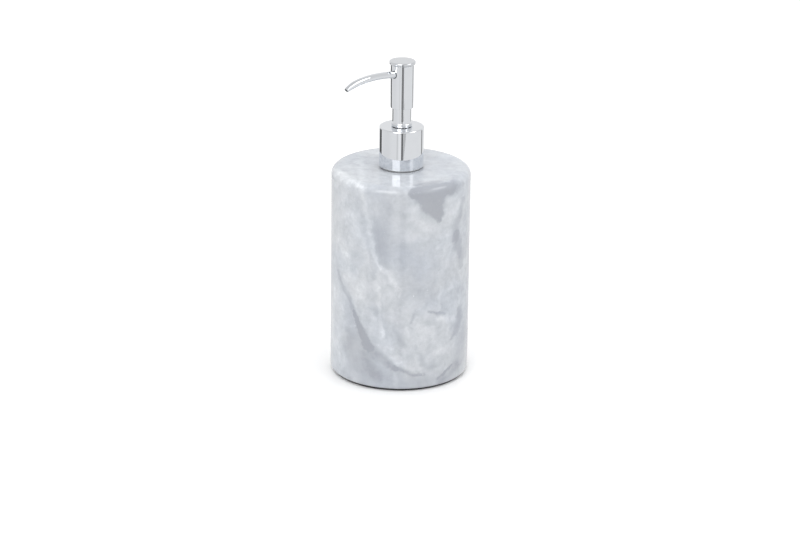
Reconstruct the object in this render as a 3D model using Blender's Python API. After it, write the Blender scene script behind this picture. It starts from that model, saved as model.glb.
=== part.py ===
"""A soap pump dispenser: a bored stone cylinder that holds the soap, and a chrome-cased lotion pump
that screws into its neck.

Units are metres and +Z is up. The origin is the centre of the foot pad's underside, every moving
piece slides along or turns about the vertical axis through it, and the spout points along -Y.
"""

from math import copysign, cos, radians, sin, sqrt, tan, tau

import bmesh
import bpy
from mathutils import Matrix, Vector

MM = 0.001

# ---------------------------------------------------------------- driving dimensions

# Gaps between pieces
SEAT_GAP = 0.3 * MM  # between two pieces that are glued, clipped or seated together
RUNNING_GAP = 0.3 * MM  # around a piece that slides or turns

# Stone body and its underside
BODY_RADIUS = 42.5 * MM
BODY_HEIGHT = 129.3 * MM
BODY_TOP_ROUND = 4.7 * MM
BODY_FOOT_ROUND = 2.2 * MM
BODY_SIDE_WALL = 10.5 * MM
BODY_ROOF = 14.6 * MM
CAVITY_ROUND = 5.0 * MM
PLUG_THICKNESS = 12.0 * MM
PLUG_CHAMFER = 1.0 * MM
PAD_THICKNESS = 1.0 * MM
PAD_INSET = 2.3 * MM

# Threaded neck and the closure that screws onto it
THREAD_CREST_RADIUS = 11.85 * MM
THREAD_DEPTH = 1.1 * MM
THREAD_PITCH = 3.175 * MM
THREAD_TURNS = 1.5
THREAD_BASE = 1.7 * MM
THREAD_LAND = 1.0 * MM
THREAD_TOP_MARGIN = 1.5 * MM
THREAD_CREST_GAP = 0.35 * MM  # from the closure's thread to the neck
THREAD_SINK = 0.3 * MM  # how deep a thread's root lies in its wall
THREAD_OFFSET = 0.5 * THREAD_PITCH  # from the neck's thread down to the closure's, between its turns
NECK_WALL = 1.45 * MM
NECK_HEIGHT = 15.2 * MM
NECK_FLANGE_THICKNESS = 0.9 * MM
NECK_FLANGE_LAP = 1.2 * MM
NECK_SHANK_SHORTFALL = 1.5 * MM
GLUE_GROOVE_DEPTH = 0.45 * MM
GLUE_GROOVE_WIDTH = 1.8 * MM
CLOSURE_WALL = 0.65 * MM
CLOSURE_SHELF = 1.6 * MM
CLOSURE_RIM_WALL = 1.0 * MM
COLLAR_WALL = 0.5 * MM
COLLAR_TOP_WALL = 0.6 * MM
COLLAR_TOP_ROUND = 0.8 * MM
COLLAR_HEADROOM = 2.5 * MM
COLLAR_LIFT = 1.1 * MM

# Pump cylinder, which hangs through the neck
GASKET_THICKNESS = 0.9 * MM
GASKET_HOLE_GAP = 0.5 * MM
CYLINDER_RADIUS = 5.7 * MM
CYLINDER_WALL = 1.0 * MM
CYLINDER_FLANGE = 1.4 * MM
CYLINDER_FLANGE_LAP = 0.15 * MM
FUNNEL_HEIGHT = 5.0 * MM
VENT_RADIUS = 0.6 * MM
VENT_DEPTH = 5.0 * MM

# Inlet valve at the foot of the cylinder
BALL_RADIUS = 2.4 * MM
BALL_LIFT = 1.8 * MM
BALL_CAGE_GAP = 0.5 * MM
BALL_SEAT_GAP = 0.2 * MM
BALL_LIP = 1.1 * MM
BALL_LIP_GRIP = 0.25 * MM
INLET_RADIUS = 1.3 * MM
SEAT_SLOPE = radians(51.0)
SEAT_WALL = 1.5 * MM
INLET_LENGTH = 1.8 * MM
LIP_SLOT_WIDTH = 1.5 * MM
DIP_TUBE_RADIUS = 2.2 * MM
DIP_TUBE_WALL = 0.8 * MM
DIP_TUBE_SOCKET = 8.8 * MM
DIP_TUBE_SOCKET_WALL = 1.15 * MM
DIP_TUBE_CLEARANCE = 2.5 * MM
DIP_TUBE_CUT = radians(40.0)

# Moving inner pieces
STROKE = 11.0 * MM
STEM_RADIUS = 3.3 * MM
STEM_WALL = 1.4 * MM
STEM_SHOULDER_GAP = 0.8 * MM  # between the stem's shoulder and the cylinder
STEM_SHOULDER = 1.5 * MM
STEM_PORT_RADIUS = 0.7 * MM
SEAL_HEIGHT = 6.4 * MM
SEAL_LIP = 1.6 * MM
SEAL_LIP_WALL = 0.6 * MM
SEAL_GAP = 0.2 * MM
ROD_COLLAR_GAP = 1.0 * MM  # between the rod's collar and the cylinder
ROD_COLLAR = 1.5 * MM
ROD_PIN_RADIUS = 2.2 * MM
ROD_PIN_LENGTH = 8.0 * MM
ROD_SPIGOT = 6.5 * MM
SPRING_WIRE_RADIUS = 0.45 * MM
SPRING_WALL_GAP = 1.05 * MM
SPRING_ACTIVE_TURNS = 5
SPRING_PRESSED_HEIGHT = 16.0 * MM
SPRING_END_PITCH = 1.05 * MM

# Chaplet, which guides the stem and clips the closure to the cylinder
CHAPLET_SKIRT = 6.9 * MM
CHAPLET_HUB_LAP = 1.4 * MM  # how far the hub reaches past the cylinder's wall
CHAPLET_FLANGE_GAP = 0.9 * MM  # between the chaplet's flange and the closure's rim
CHAPLET_FLANGE = 1.3 * MM
CHAPLET_TOWER_WALL = 1.35 * MM

# Chrome guide sleeve over the chaplet's tower
SLEEVE_WALL = 0.6 * MM
SLEEVE_RING_HEIGHT = 1.8 * MM
SLEEVE_RING_FLARE = 0.45 * MM
SLEEVE_COVE_HEIGHT = 2.3 * MM
SLEEVE_LAP = 3.0 * MM
SLEEVE_LIP = 0.6 * MM
COLLAR_HOLE_GAP = 0.45 * MM

# Head
PRESSED_GAP = 0.9 * MM  # left between the head shell and the collar at full stroke
PRESSED_CORE_GAP = 0.4 * MM  # left between the core and the sleeve at full stroke
HEAD_WALL = 0.4 * MM
HEAD_TAPER = 0.2 * MM
CORE_HEIGHT = 11.0 * MM
STEM_SOCKET_DEPTH = 3.9 * MM
CHANNEL_RADIUS = 1.5 * MM
CORE_CHAMFER = 0.5 * MM
CAP_SPIGOT = 1.5 * MM
CAP_THICKNESS = 2.0 * MM
CAP_OVERHANG = 0.8 * MM
CAP_ROUND = 0.7 * MM

# Spout: a straight root in the core, then one curve to the tip
SPOUT_RADIUS = 2.1 * MM
SPOUT_WALL = 0.4 * MM
SPOUT_TIP_RADIUS = 1.5 * MM
SPOUT_TAPER_FROM = 0.8  # the place along the curve where the tube starts to taper
SPOUT_AXIS_HEIGHT = 5.8 * MM  # where its line meets the pump's axis, above the core's underside
SPOUT_RISE = radians(10.0)
SPOUT_FALL = radians(31.0)
SPOUT_REACH = 45.3 * MM
SPOUT_TIP_DROP = 2.5 * MM  # from the start of the curve down to the tip
SPOUT_ROOT_HANDLE = 10.5 * MM
SPOUT_TIP_HANDLE = 10.0 * MM
SPOUT_ROOT_CLEAR = 0.8 * MM  # straight length outside the head shell
SPOUT_HOLE_GAP = 0.3 * MM
SPOUT_INSERTION = 2.1 * MM
LINER_INSERTION = 4.3 * MM
LINER_WALL = 0.45 * MM

# Facets around each kind of round piece
BODY_SIDES = 48
COLLAR_SIDES = 32
PUMP_SIDES = 24
STEM_SIDES = 16
TUBE_SIDES = 12
WIRE_SIDES = 6
ROUND_STEPS = 4
THREAD_STEPS_PER_TURN = 24
SPRING_STEPS_PER_TURN = 12
SPOUT_STEPS = 15

# ---------------------------------------------------------------- sizes that follow

# Radii, from the threaded neck outwards
neck_root_radius = THREAD_CREST_RADIUS - THREAD_DEPTH
neck_bore_radius = neck_root_radius - NECK_WALL
closure_bore_radius = THREAD_CREST_RADIUS + RUNNING_GAP
closure_radius = closure_bore_radius + CLOSURE_WALL
collar_radius = closure_radius + SEAT_GAP + COLLAR_WALL
neck_flange_radius = closure_radius - SEAT_GAP
neck_shank_radius = neck_flange_radius - NECK_FLANGE_LAP
neck_hole_radius = neck_shank_radius + SEAT_GAP
closure_rim_bore = closure_radius - CLOSURE_RIM_WALL
cavity_radius = BODY_RADIUS - BODY_SIDE_WALL

# Radii, from the stem outwards
stem_bore_radius = STEM_RADIUS - STEM_WALL
guide_radius = STEM_RADIUS + RUNNING_GAP
tower_radius = guide_radius + CHAPLET_TOWER_WALL
sleeve_bore_radius = tower_radius + SEAT_GAP
sleeve_radius = sleeve_bore_radius + SLEEVE_WALL
sleeve_ring_radius = sleeve_radius + SLEEVE_RING_FLARE
head_bore_radius = sleeve_ring_radius + RUNNING_GAP
head_foot_radius = head_bore_radius + HEAD_WALL
head_top_radius = head_foot_radius + HEAD_TAPER
core_radius = head_bore_radius - SEAT_GAP
cap_radius = head_top_radius + CAP_OVERHANG

# Radii of the cylinder and of what runs in it
cylinder_outer_radius = CYLINDER_RADIUS + CYLINDER_WALL
cylinder_flange_radius = neck_root_radius + CYLINDER_FLANGE_LAP
gasket_hole_radius = cylinder_outer_radius + GASKET_HOLE_GAP
hub_radius = cylinder_outer_radius + CHAPLET_HUB_LAP
chaplet_flange_radius = closure_rim_bore - CHAPLET_FLANGE_GAP
stem_shoulder_radius = CYLINDER_RADIUS - STEM_SHOULDER_GAP
rod_collar_radius = CYLINDER_RADIUS - ROD_COLLAR_GAP
seal_radius = CYLINDER_RADIUS - SEAL_GAP
ball_cage_radius = BALL_RADIUS + BALL_CAGE_GAP
ball_lip_radius = BALL_RADIUS - BALL_LIP_GRIP
spring_radius = CYLINDER_RADIUS - SPRING_WALL_GAP - SPRING_WIRE_RADIUS

# Heights of the stone body's group
body_foot = PAD_THICKNESS + SEAT_GAP
body_top = body_foot + BODY_HEIGHT
cavity_top = body_top - BODY_ROOF
plug_top = body_foot + PLUG_THICKNESS
neck_flange_foot = body_top + SEAT_GAP
neck_flange_top = neck_flange_foot + NECK_FLANGE_THICKNESS
neck_top = neck_flange_top + NECK_HEIGHT

# Heights of the stack that the closure clamps to the neck
gasket_foot = neck_top + SEAT_GAP
cylinder_flange_foot = gasket_foot + GASKET_THICKNESS + SEAT_GAP
cylinder_top = cylinder_flange_foot + CYLINDER_FLANGE
shelf_foot = cylinder_top + SEAT_GAP
shelf_top = shelf_foot + CLOSURE_SHELF
chaplet_flange_foot = shelf_top + SEAT_GAP
chaplet_flange_top = chaplet_flange_foot + CHAPLET_FLANGE
collar_foot = body_top + COLLAR_LIFT
collar_top = chaplet_flange_top + COLLAR_HEADROOM + COLLAR_TOP_WALL
closure_top = collar_top - COLLAR_TOP_WALL - SEAT_GAP

# Heights of the sleeve and the head
sleeve_foot = collar_top + SEAT_GAP
head_foot = collar_top + STROKE + PRESSED_GAP
sleeve_top = head_foot + SLEEVE_LAP
tower_top = sleeve_top - SLEEVE_LIP - SEAT_GAP
core_foot = sleeve_top + STROKE + PRESSED_CORE_GAP
core_top = core_foot + CORE_HEIGHT
stem_top = core_foot + STEM_SOCKET_DEPTH - SEAT_GAP
cap_foot = core_top + SEAT_GAP + CAP_SPIGOT
cap_top = cap_foot + CAP_THICKNESS
head_top = cap_foot - SEAT_GAP

# Heights down the cylinder, whose spring ledge leaves room for the stroke
skirt_foot = cylinder_top - CHAPLET_SKIRT
shoulder_top = skirt_foot - SEAT_GAP
seal_top = shoulder_top - STEM_SHOULDER - SEAT_GAP
seal_foot = seal_top - SEAL_HEIGHT
rod_collar_top = seal_foot - SEAT_GAP
rod_collar_foot = rod_collar_top - ROD_COLLAR
ledge = rod_collar_foot - STROKE - SPRING_PRESSED_HEIGHT

# Inlet valve: the ball rests on a cone, and a slotted lip holds it down
lip_foot = ledge - BALL_LIP
ball_rise_to_lip = sqrt(BALL_RADIUS**2 - ball_lip_radius**2)
ball_height = lip_foot - ball_rise_to_lip - BALL_SEAT_GAP - BALL_LIFT
seat_reach = BALL_RADIUS + BALL_SEAT_GAP
seat_foot = ball_height - (seat_reach - INLET_RADIUS * sin(SEAT_SLOPE)) / cos(SEAT_SLOPE)
seat_top = seat_foot + (ball_cage_radius - INLET_RADIUS) * tan(SEAT_SLOPE)
socket_top = seat_foot - INLET_LENGTH
socket_foot = socket_top - DIP_TUBE_SOCKET
socket_radius = DIP_TUBE_RADIUS + SEAT_GAP / 2
snout_radius = socket_radius + DIP_TUBE_SOCKET_WALL
dip_tube_top = socket_top - SEAT_GAP
dip_tube_foot = plug_top + DIP_TUBE_CLEARANCE

# Spout
spout_bore_radius = SPOUT_RADIUS - SPOUT_WALL
spout_tip_bore_radius = SPOUT_TIP_RADIUS - SPOUT_WALL
spout_socket_radius = SPOUT_RADIUS + SEAT_GAP
liner_radius = spout_bore_radius - SEAT_GAP
spout_axis_point = Vector((0, 0, core_foot + SPOUT_AXIS_HEIGHT))
spout_direction = Vector((0, -cos(SPOUT_RISE), sin(SPOUT_RISE)))

# ---------------------------------------------------------------- tools


def clear_scene():
    for old in list(bpy.data.objects):
        bpy.data.objects.remove(old, do_unlink=True)


def material(name, colour, roughness, metallic=0.0):
    finish = bpy.data.materials.new(name)
    finish.use_nodes = True
    shader = finish.node_tree.nodes["Principled BSDF"]
    shader.inputs["Base Color"].default_value = (*colour, 1.0)
    shader.inputs["Roughness"].default_value = roughness
    shader.inputs["Metallic"].default_value = metallic
    finish.diffuse_color = (*colour, 1.0)
    return finish


def new_object(name, bm, finish=None):
    """An object made from the bmesh, which is closed, with its faces turned outwards."""
    bmesh.ops.recalc_face_normals(bm, faces=bm.faces)
    mesh = bpy.data.meshes.new(name)
    bm.to_mesh(mesh)
    bm.free()
    mesh.shade_smooth()
    mesh.set_sharp_from_angle(angle=radians(35))
    made = bpy.data.objects.new(name, mesh)
    bpy.context.scene.collection.objects.link(made)
    if finish:
        mesh.materials.append(finish)
    return made


def rounded(corners):
    """The outline through corners of (radius, height) or (radius, height, rounding)."""
    outline = []
    for index, corner in enumerate(corners):
        here = Vector(corner[:2])
        if len(corner) == 2:
            outline.append(here)
            continue
        back = (Vector(corners[index - 1][:2]) - here).normalized()
        ahead = (Vector(corners[(index + 1) % len(corners)][:2]) - here).normalized()
        half = back.angle(ahead) / 2
        radius = corner[2]
        centre = here + (back + ahead).normalized() * radius / sin(half)
        first = here + back * radius / tan(half) - centre
        last = here + ahead * radius / tan(half) - centre
        turns = [first.slerp(last, step / ROUND_STEPS) for step in range(ROUND_STEPS + 1)]
        outline += [centre + radius * turn for turn in turns]
    return outline


def turned(name, corners, sides, finish=None):
    """A solid of revolution about the vertical axis, from the closed outline of one half."""
    bm = bmesh.new()
    rim = [bm.verts.new((radius, 0, height)) for radius, height in rounded(corners)]
    edges = [bm.edges.new((rim[index - 1], rim[index])) for index in range(len(rim))]
    bmesh.ops.spin(
        bm, geom=rim + edges, cent=(0, 0, 0), axis=(0, 0, 1), angle=tau, steps=sides, use_merge=True
    )
    bmesh.ops.remove_doubles(bm, verts=bm.verts, dist=0.001 * MM)
    bmesh.ops.dissolve_degenerate(bm, edges=bm.edges, dist=0.001 * MM)
    lone = [edge for edge in bm.edges if not edge.link_faces]
    bmesh.ops.delete(bm, geom=lone, context="EDGES")
    return new_object(name, bm, finish)


def ring(bm, centre, along, radius, sides):
    """A circle of vertices around a point, square to a direction that lies in the plane X = 0."""
    side = Vector((1, 0, 0))
    up = side.cross(along)
    angles = [tau * step / sides for step in range(sides)]
    return [bm.verts.new(centre + radius * (cos(a) * side + sin(a) * up)) for a in angles]


def bridge(bm, first, second):
    """Faces between two loops of vertices that match one to one."""
    for index in range(len(first)):
        bm.faces.new((first[index - 1], first[index], second[index], second[index - 1]))


def tube_along(name, stations, sides, finish):
    """A hollow tube through stations of (centre, direction, outer radius, bore radius)."""
    bm = bmesh.new()
    outer = [ring(bm, centre, along, radius, sides) for centre, along, radius, _ in stations]
    inner = [ring(bm, centre, along, bore, sides) for centre, along, _, bore in stations]
    loops = outer + inner[::-1]
    for index in range(len(loops)):
        bridge(bm, loops[index - 1], loops[index])
    return new_object(name, bm, finish)


def thread_ridge(name, wall_radius, crest_radius, start):
    """One helical thread that stands on a wall, thins out at both ends, and is sunk into that wall."""
    sink = copysign(THREAD_SINK, wall_radius - crest_radius)
    steps = round(THREAD_TURNS * THREAD_STEPS_PER_TURN)
    run_out = THREAD_STEPS_PER_TURN // 8
    bm = bmesh.new()
    sections = []
    for step in range(steps + 1):
        angle = tau * step / THREAD_STEPS_PER_TURN
        height = start + THREAD_PITCH * angle / tau
        stand = min(step, steps - step, run_out) / run_out
        crest = wall_radius + sink / 2 + (crest_radius - wall_radius - sink / 2) * stand
        section = (
            (wall_radius + sink, -THREAD_BASE / 2),
            (crest, -THREAD_LAND / 2),
            (crest, THREAD_LAND / 2),
            (wall_radius + sink, THREAD_BASE / 2),
        )
        sections.append([
            bm.verts.new((radius * cos(angle), radius * sin(angle), height + rise))
            for radius, rise in section
        ])
    for index in range(steps):
        bridge(bm, sections[index], sections[index + 1])
    bm.faces.new(sections[0])
    bm.faces.new(sections[-1][::-1])
    return new_object(name, bm)


def bar(name, start, along, length, radius, sides):
    """A round bar from a point along a direction in the plane X = 0, for cutting a hole."""
    bm = bmesh.new()
    ends = [ring(bm, start + along * reach, along, radius, sides) for reach in (0, length)]
    bridge(bm, *ends)
    bm.faces.new(ends[0])
    bm.faces.new(ends[1][::-1])
    return new_object(name, bm)


def block(name, size, centre):
    bm = bmesh.new()
    bmesh.ops.create_cube(bm, size=1.0, matrix=Matrix.LocRotScale(centre, None, size))
    return new_object(name, bm)


def boolean(piece, tool, operation):
    """Cuts or joins the piece with a tool, which stays in the scene as a hidden guide."""
    tool.hide_render = True
    tool.display_type = "WIRE"
    tool.parent = piece
    change = piece.modifiers.new(tool.name, "BOOLEAN")
    change.operation = operation
    change.solver = "EXACT"
    change.object = tool


def body_frame(name, height, parent=None):
    """An empty on the vertical axis that carries the pieces that move as one."""
    frame = bpy.data.objects.new(name, None)
    frame.empty_display_size = 10 * MM
    frame.location = (0, 0, height - (parent.matrix_world.translation.z if parent else 0))
    frame.parent = parent
    bpy.context.scene.collection.objects.link(frame)
    bpy.context.view_layer.update()
    return frame


def carry(frame, *pieces):
    for piece in pieces:
        piece.parent = frame
        piece.matrix_parent_inverse = frame.matrix_world.inverted()


# ---------------------------------------------------------------- stone body and foot


def marble_body(finish):
    """A turned stone cylinder, bored wide from below and drilled through the roof for the neck."""
    return turned("marble_body", [
        (neck_hole_radius, body_top),
        (BODY_RADIUS, body_top, BODY_TOP_ROUND),
        (BODY_RADIUS, body_foot, BODY_FOOT_ROUND),
        (cavity_radius, body_foot),
        (cavity_radius, cavity_top, CAVITY_ROUND),
        (neck_hole_radius, cavity_top),
    ], BODY_SIDES, finish)


def base_plug(finish):
    """The stone disc glued into the bore from below."""
    radius = cavity_radius - SEAT_GAP
    return turned("base_plug", [
        (0, plug_top),
        (radius - PLUG_CHAMFER, plug_top),
        (radius, plug_top - PLUG_CHAMFER),
        (radius, body_foot),
        (0, body_foot),
    ], BODY_SIDES, finish)


def foot_pad(finish):
    """The soft disc stuck under the stone, which the dispenser stands on."""
    radius = BODY_RADIUS - PAD_INSET
    return turned("foot_pad", [
        (0, PAD_THICKNESS), (radius, PAD_THICKNESS), (radius, 0), (0, 0),
    ], BODY_SIDES, finish)


# ---------------------------------------------------------------- neck, closure and collar


def neck_insert(finish):
    """The threaded bush glued into the roof, with its flange on the stone."""
    shank_foot = cavity_top + NECK_SHANK_SHORTFALL
    groove_radius = neck_shank_radius - GLUE_GROOVE_DEPTH
    groove_rise = (neck_flange_foot - shank_foot - 2 * GLUE_GROOVE_WIDTH) / 3
    outline = [
        (neck_bore_radius, neck_top),
        (neck_root_radius, neck_top),
        (neck_root_radius, neck_flange_top),
        (neck_flange_radius, neck_flange_top),
        (neck_flange_radius, neck_flange_foot),
        (neck_shank_radius, neck_flange_foot),
    ]
    groove_top = neck_flange_foot - groove_rise
    for _ in range(2):
        groove_foot = groove_top - GLUE_GROOVE_WIDTH
        outline += [
            (neck_shank_radius, groove_top),
            (groove_radius, groove_top),
            (groove_radius, groove_foot),
            (neck_shank_radius, groove_foot),
        ]
        groove_top = groove_foot - groove_rise
    outline += [(neck_shank_radius, shank_foot), (neck_bore_radius, shank_foot)]
    bush = turned("neck_insert", outline, COLLAR_SIDES, finish)
    start = neck_top - THREAD_TOP_MARGIN - THREAD_TURNS * THREAD_PITCH
    boolean(bush, thread_ridge("neck_thread", neck_root_radius, THREAD_CREST_RADIUS, start), "UNION")
    return bush


def closure(finish):
    """The threaded cap inside the collar. Its shelf clips around the pump, so that it turns freely."""
    shelf_hole = hub_radius + RUNNING_GAP
    cap = turned("closure", [
        (closure_rim_bore, closure_top),
        (closure_radius, closure_top),
        (closure_radius, neck_flange_top + RUNNING_GAP),
        (closure_bore_radius, neck_flange_top + RUNNING_GAP),
        (closure_bore_radius, shelf_foot),
        (shelf_hole, shelf_foot),
        (shelf_hole, shelf_top),
        (closure_rim_bore, shelf_top),
    ], COLLAR_SIDES, finish)
    crest = neck_root_radius + THREAD_CREST_GAP
    start = neck_top - THREAD_TOP_MARGIN - THREAD_TURNS * THREAD_PITCH - THREAD_OFFSET
    boolean(cap, thread_ridge("closure_thread", closure_bore_radius, crest, start), "UNION")
    return cap


def collar_shell(finish):
    """The chrome cup over the closure, with a hole in its top for the sleeve's tower."""
    bore = collar_radius - COLLAR_WALL
    hole = tower_radius + COLLAR_HOLE_GAP
    return turned("collar_shell", [
        (hole, collar_top),
        (collar_radius, collar_top, COLLAR_TOP_ROUND),
        (collar_radius, collar_foot),
        (bore, collar_foot),
        (bore, collar_top - COLLAR_TOP_WALL),
        (hole, collar_top - COLLAR_TOP_WALL),
    ], COLLAR_SIDES, finish)


# ---------------------------------------------------------------- pump cylinder and inlet valve


def neck_gasket(finish):
    """The soft washer that seals the cylinder's flange to the neck."""
    return turned("neck_gasket", [
        (gasket_hole_radius, gasket_foot + GASKET_THICKNESS),
        (neck_root_radius, gasket_foot + GASKET_THICKNESS),
        (neck_root_radius, gasket_foot),
        (gasket_hole_radius, gasket_foot),
    ], PUMP_SIDES, finish)


def pump_cylinder(finish):
    """The pump's barrel, with the ball's cage and the dip tube's socket in one moulding."""
    funnel_top = lip_foot
    cage_outer = ball_cage_radius + SEAT_WALL
    barrel = turned("pump_cylinder", [
        (CYLINDER_RADIUS, cylinder_top),
        (cylinder_flange_radius, cylinder_top),
        (cylinder_flange_radius, cylinder_flange_foot),
        (cylinder_outer_radius, cylinder_flange_foot),
        (cylinder_outer_radius, funnel_top),
        (cage_outer, funnel_top - FUNNEL_HEIGHT),
        (cage_outer, seat_foot),
        (snout_radius, seat_foot - SEAT_WALL),
        (snout_radius, socket_foot),
        (socket_radius, socket_foot),
        (socket_radius, socket_top),
        (INLET_RADIUS, socket_top),
        (INLET_RADIUS, seat_foot),
        (ball_cage_radius, seat_top),
        (ball_cage_radius, lip_foot),
        (ball_lip_radius, lip_foot),
        (ball_lip_radius, ledge),
        (CYLINDER_RADIUS, ledge),
    ], PUMP_SIDES, finish)
    slot_length = 2 * (ball_cage_radius + SEAT_GAP)
    slot_height = BALL_LIP + 2 * SEAT_GAP
    centre = (0, 0, ledge - BALL_LIP / 2)
    for name, size in (
        ("lip_slot_x", (slot_length, LIP_SLOT_WIDTH, slot_height)),
        ("lip_slot_y", (LIP_SLOT_WIDTH, slot_length, slot_height)),
    ):
        boolean(barrel, block(name, size, centre), "DIFFERENCE")
    vent_start = Vector((0, CYLINDER_RADIUS - CYLINDER_WALL, cylinder_flange_foot - VENT_DEPTH))
    vent = bar("air_vent", vent_start, Vector((0, 1, 0)), 3 * CYLINDER_WALL, VENT_RADIUS, TUBE_SIDES)
    boolean(barrel, vent, "DIFFERENCE")
    return barrel


def inlet_ball(finish):
    bm = bmesh.new()
    bmesh.ops.create_uvsphere(
        bm, u_segments=TUBE_SIDES, v_segments=TUBE_SIDES // 2 + 2, radius=BALL_RADIUS,
        matrix=Matrix.Translation((0, 0, ball_height)),
    )
    return new_object("inlet_ball", bm, finish)


def dip_tube(finish):
    """The tube that reaches down to the plug, with its foot cut aslant so that it can't seal there."""
    bore = DIP_TUBE_RADIUS - DIP_TUBE_WALL
    tube = turned("dip_tube", [
        (bore, dip_tube_top),
        (DIP_TUBE_RADIUS, dip_tube_top),
        (DIP_TUBE_RADIUS, dip_tube_foot),
        (bore, dip_tube_foot),
    ], TUBE_SIDES, finish)
    for vertex in tube.data.vertices:
        if vertex.co.z < (dip_tube_top + dip_tube_foot) / 2:
            vertex.co.z += (vertex.co.x + DIP_TUBE_RADIUS) * tan(DIP_TUBE_CUT)
    return tube


def chaplet(finish):
    """The guide clipped into the cylinder's top, whose tower carries the sleeve."""
    skirt_radius = CYLINDER_RADIUS - SEAT_GAP
    hub_foot = cylinder_top + SEAT_GAP
    return turned("chaplet", [
        (guide_radius, tower_top),
        (tower_radius, tower_top),
        (tower_radius, chaplet_flange_top),
        (chaplet_flange_radius, chaplet_flange_top),
        (chaplet_flange_radius, chaplet_flange_foot),
        (hub_radius, chaplet_flange_foot),
        (hub_radius, hub_foot),
        (skirt_radius, hub_foot),
        (skirt_radius, skirt_foot),
        (guide_radius, skirt_foot),
    ], PUMP_SIDES, finish)


def guide_sleeve(finish):
    """The chrome tube over the chaplet's tower, flared to a ring where it meets the collar."""
    ring_top = sleeve_foot + SLEEVE_RING_HEIGHT
    lip_radius = guide_radius + RUNNING_GAP
    return turned("guide_sleeve", [
        (lip_radius, sleeve_top),
        (sleeve_radius, sleeve_top, SLEEVE_LIP / 2),
        (sleeve_radius, ring_top + SLEEVE_COVE_HEIGHT),
        (sleeve_radius + SLEEVE_RING_FLARE / 3, ring_top + SLEEVE_COVE_HEIGHT / 3),
        (sleeve_ring_radius, ring_top),
        (sleeve_ring_radius, sleeve_foot),
        (sleeve_bore_radius, sleeve_foot),
        (sleeve_bore_radius, sleeve_top - SLEEVE_LIP),
        (lip_radius, sleeve_top - SLEEVE_LIP),
    ], PUMP_SIDES, finish)


# ---------------------------------------------------------------- spring, piston and stem


def return_spring(finish):
    """A compression spring with one closed turn at each end, between the ledge and the rod's collar."""
    foot = ledge + SEAT_GAP + SPRING_WIRE_RADIUS
    top = rod_collar_foot - SEAT_GAP - SPRING_WIRE_RADIUS
    turns = SPRING_ACTIVE_TURNS + 2
    active_pitch = (top - foot - 2 * SPRING_END_PITCH) / SPRING_ACTIVE_TURNS
    bm = bmesh.new()
    loops = []
    for step in range(turns * SPRING_STEPS_PER_TURN + 1):
        turn = step / SPRING_STEPS_PER_TURN
        closed_turns = min(turn, 1) + max(turn - turns + 1, 0)
        height = foot + closed_turns * SPRING_END_PITCH + (turn - closed_turns) * active_pitch
        outwards = Vector((cos(tau * turn), sin(tau * turn), 0))
        centre = spring_radius * outwards + Vector((0, 0, height))
        angles = [tau * side / WIRE_SIDES for side in range(WIRE_SIDES)]
        loops.append([
            bm.verts.new(centre + SPRING_WIRE_RADIUS * (cos(a) * outwards + Vector((0, 0, sin(a)))))
            for a in angles
        ])
    for index in range(len(loops) - 1):
        bridge(bm, loops[index], loops[index + 1])
    bm.faces.new(loops[0])
    bm.faces.new(loops[-1][::-1])
    return new_object("return_spring", bm, finish)


def piston_seal(finish):
    """The soft piston, with a thin lip at each end that wipes the cylinder."""
    bore = STEM_RADIUS + RUNNING_GAP
    waist = seal_radius - SEAL_LIP_WALL
    return turned("piston_seal", [
        (bore, seal_top),
        (waist, seal_top),
        (seal_radius, seal_top),
        (seal_radius, seal_top - SEAL_LIP),
        (waist, seal_top - 2 * SEAL_LIP),
        (seal_radius, seal_foot + SEAL_LIP),
        (seal_radius, seal_foot),
        (waist, seal_foot),
        (bore, seal_foot + SEAL_LIP),
    ], PUMP_SIDES, finish)


def piston_rod(finish):
    """The solid pin under the piston: its collar takes the spring, its spigot plugs into the stem."""
    spigot_radius = stem_bore_radius - SEAT_GAP
    pin_foot = rod_collar_foot - ROD_PIN_LENGTH
    spigot_top = rod_collar_top + ROD_SPIGOT
    tip_radius = ROD_PIN_RADIUS / 2
    return turned("piston_rod", [
        (0, spigot_top),
        (spigot_radius, spigot_top),
        (spigot_radius, rod_collar_top),
        (rod_collar_radius, rod_collar_top),
        (rod_collar_radius, rod_collar_foot),
        (ROD_PIN_RADIUS, rod_collar_foot),
        (ROD_PIN_RADIUS, pin_foot + tip_radius),
        (tip_radius, pin_foot),
        (0, pin_foot),
    ], STEM_SIDES, finish)


def stem(finish):
    """The hollow stem, from the piston up to the core, with a shoulder that stops it at the chaplet."""
    foot = rod_collar_top + SEAT_GAP
    tube = turned("stem", [
        (stem_bore_radius, stem_top),
        (STEM_RADIUS, stem_top),
        (STEM_RADIUS, shoulder_top),
        (stem_shoulder_radius, shoulder_top),
        (stem_shoulder_radius, shoulder_top - STEM_SHOULDER),
        (STEM_RADIUS, shoulder_top - STEM_SHOULDER),
        (STEM_RADIUS, foot),
        (stem_bore_radius, foot),
    ], STEM_SIDES, finish)
    port_start = Vector((0, -2 * STEM_RADIUS, shoulder_top - STEM_SHOULDER - 3 * STEM_PORT_RADIUS))
    port = bar("stem_ports", port_start, Vector((0, 1, 0)), 4 * STEM_RADIUS, STEM_PORT_RADIUS, TUBE_SIDES)
    boolean(tube, port, "DIFFERENCE")
    return tube


# ---------------------------------------------------------------- head and spout


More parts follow.
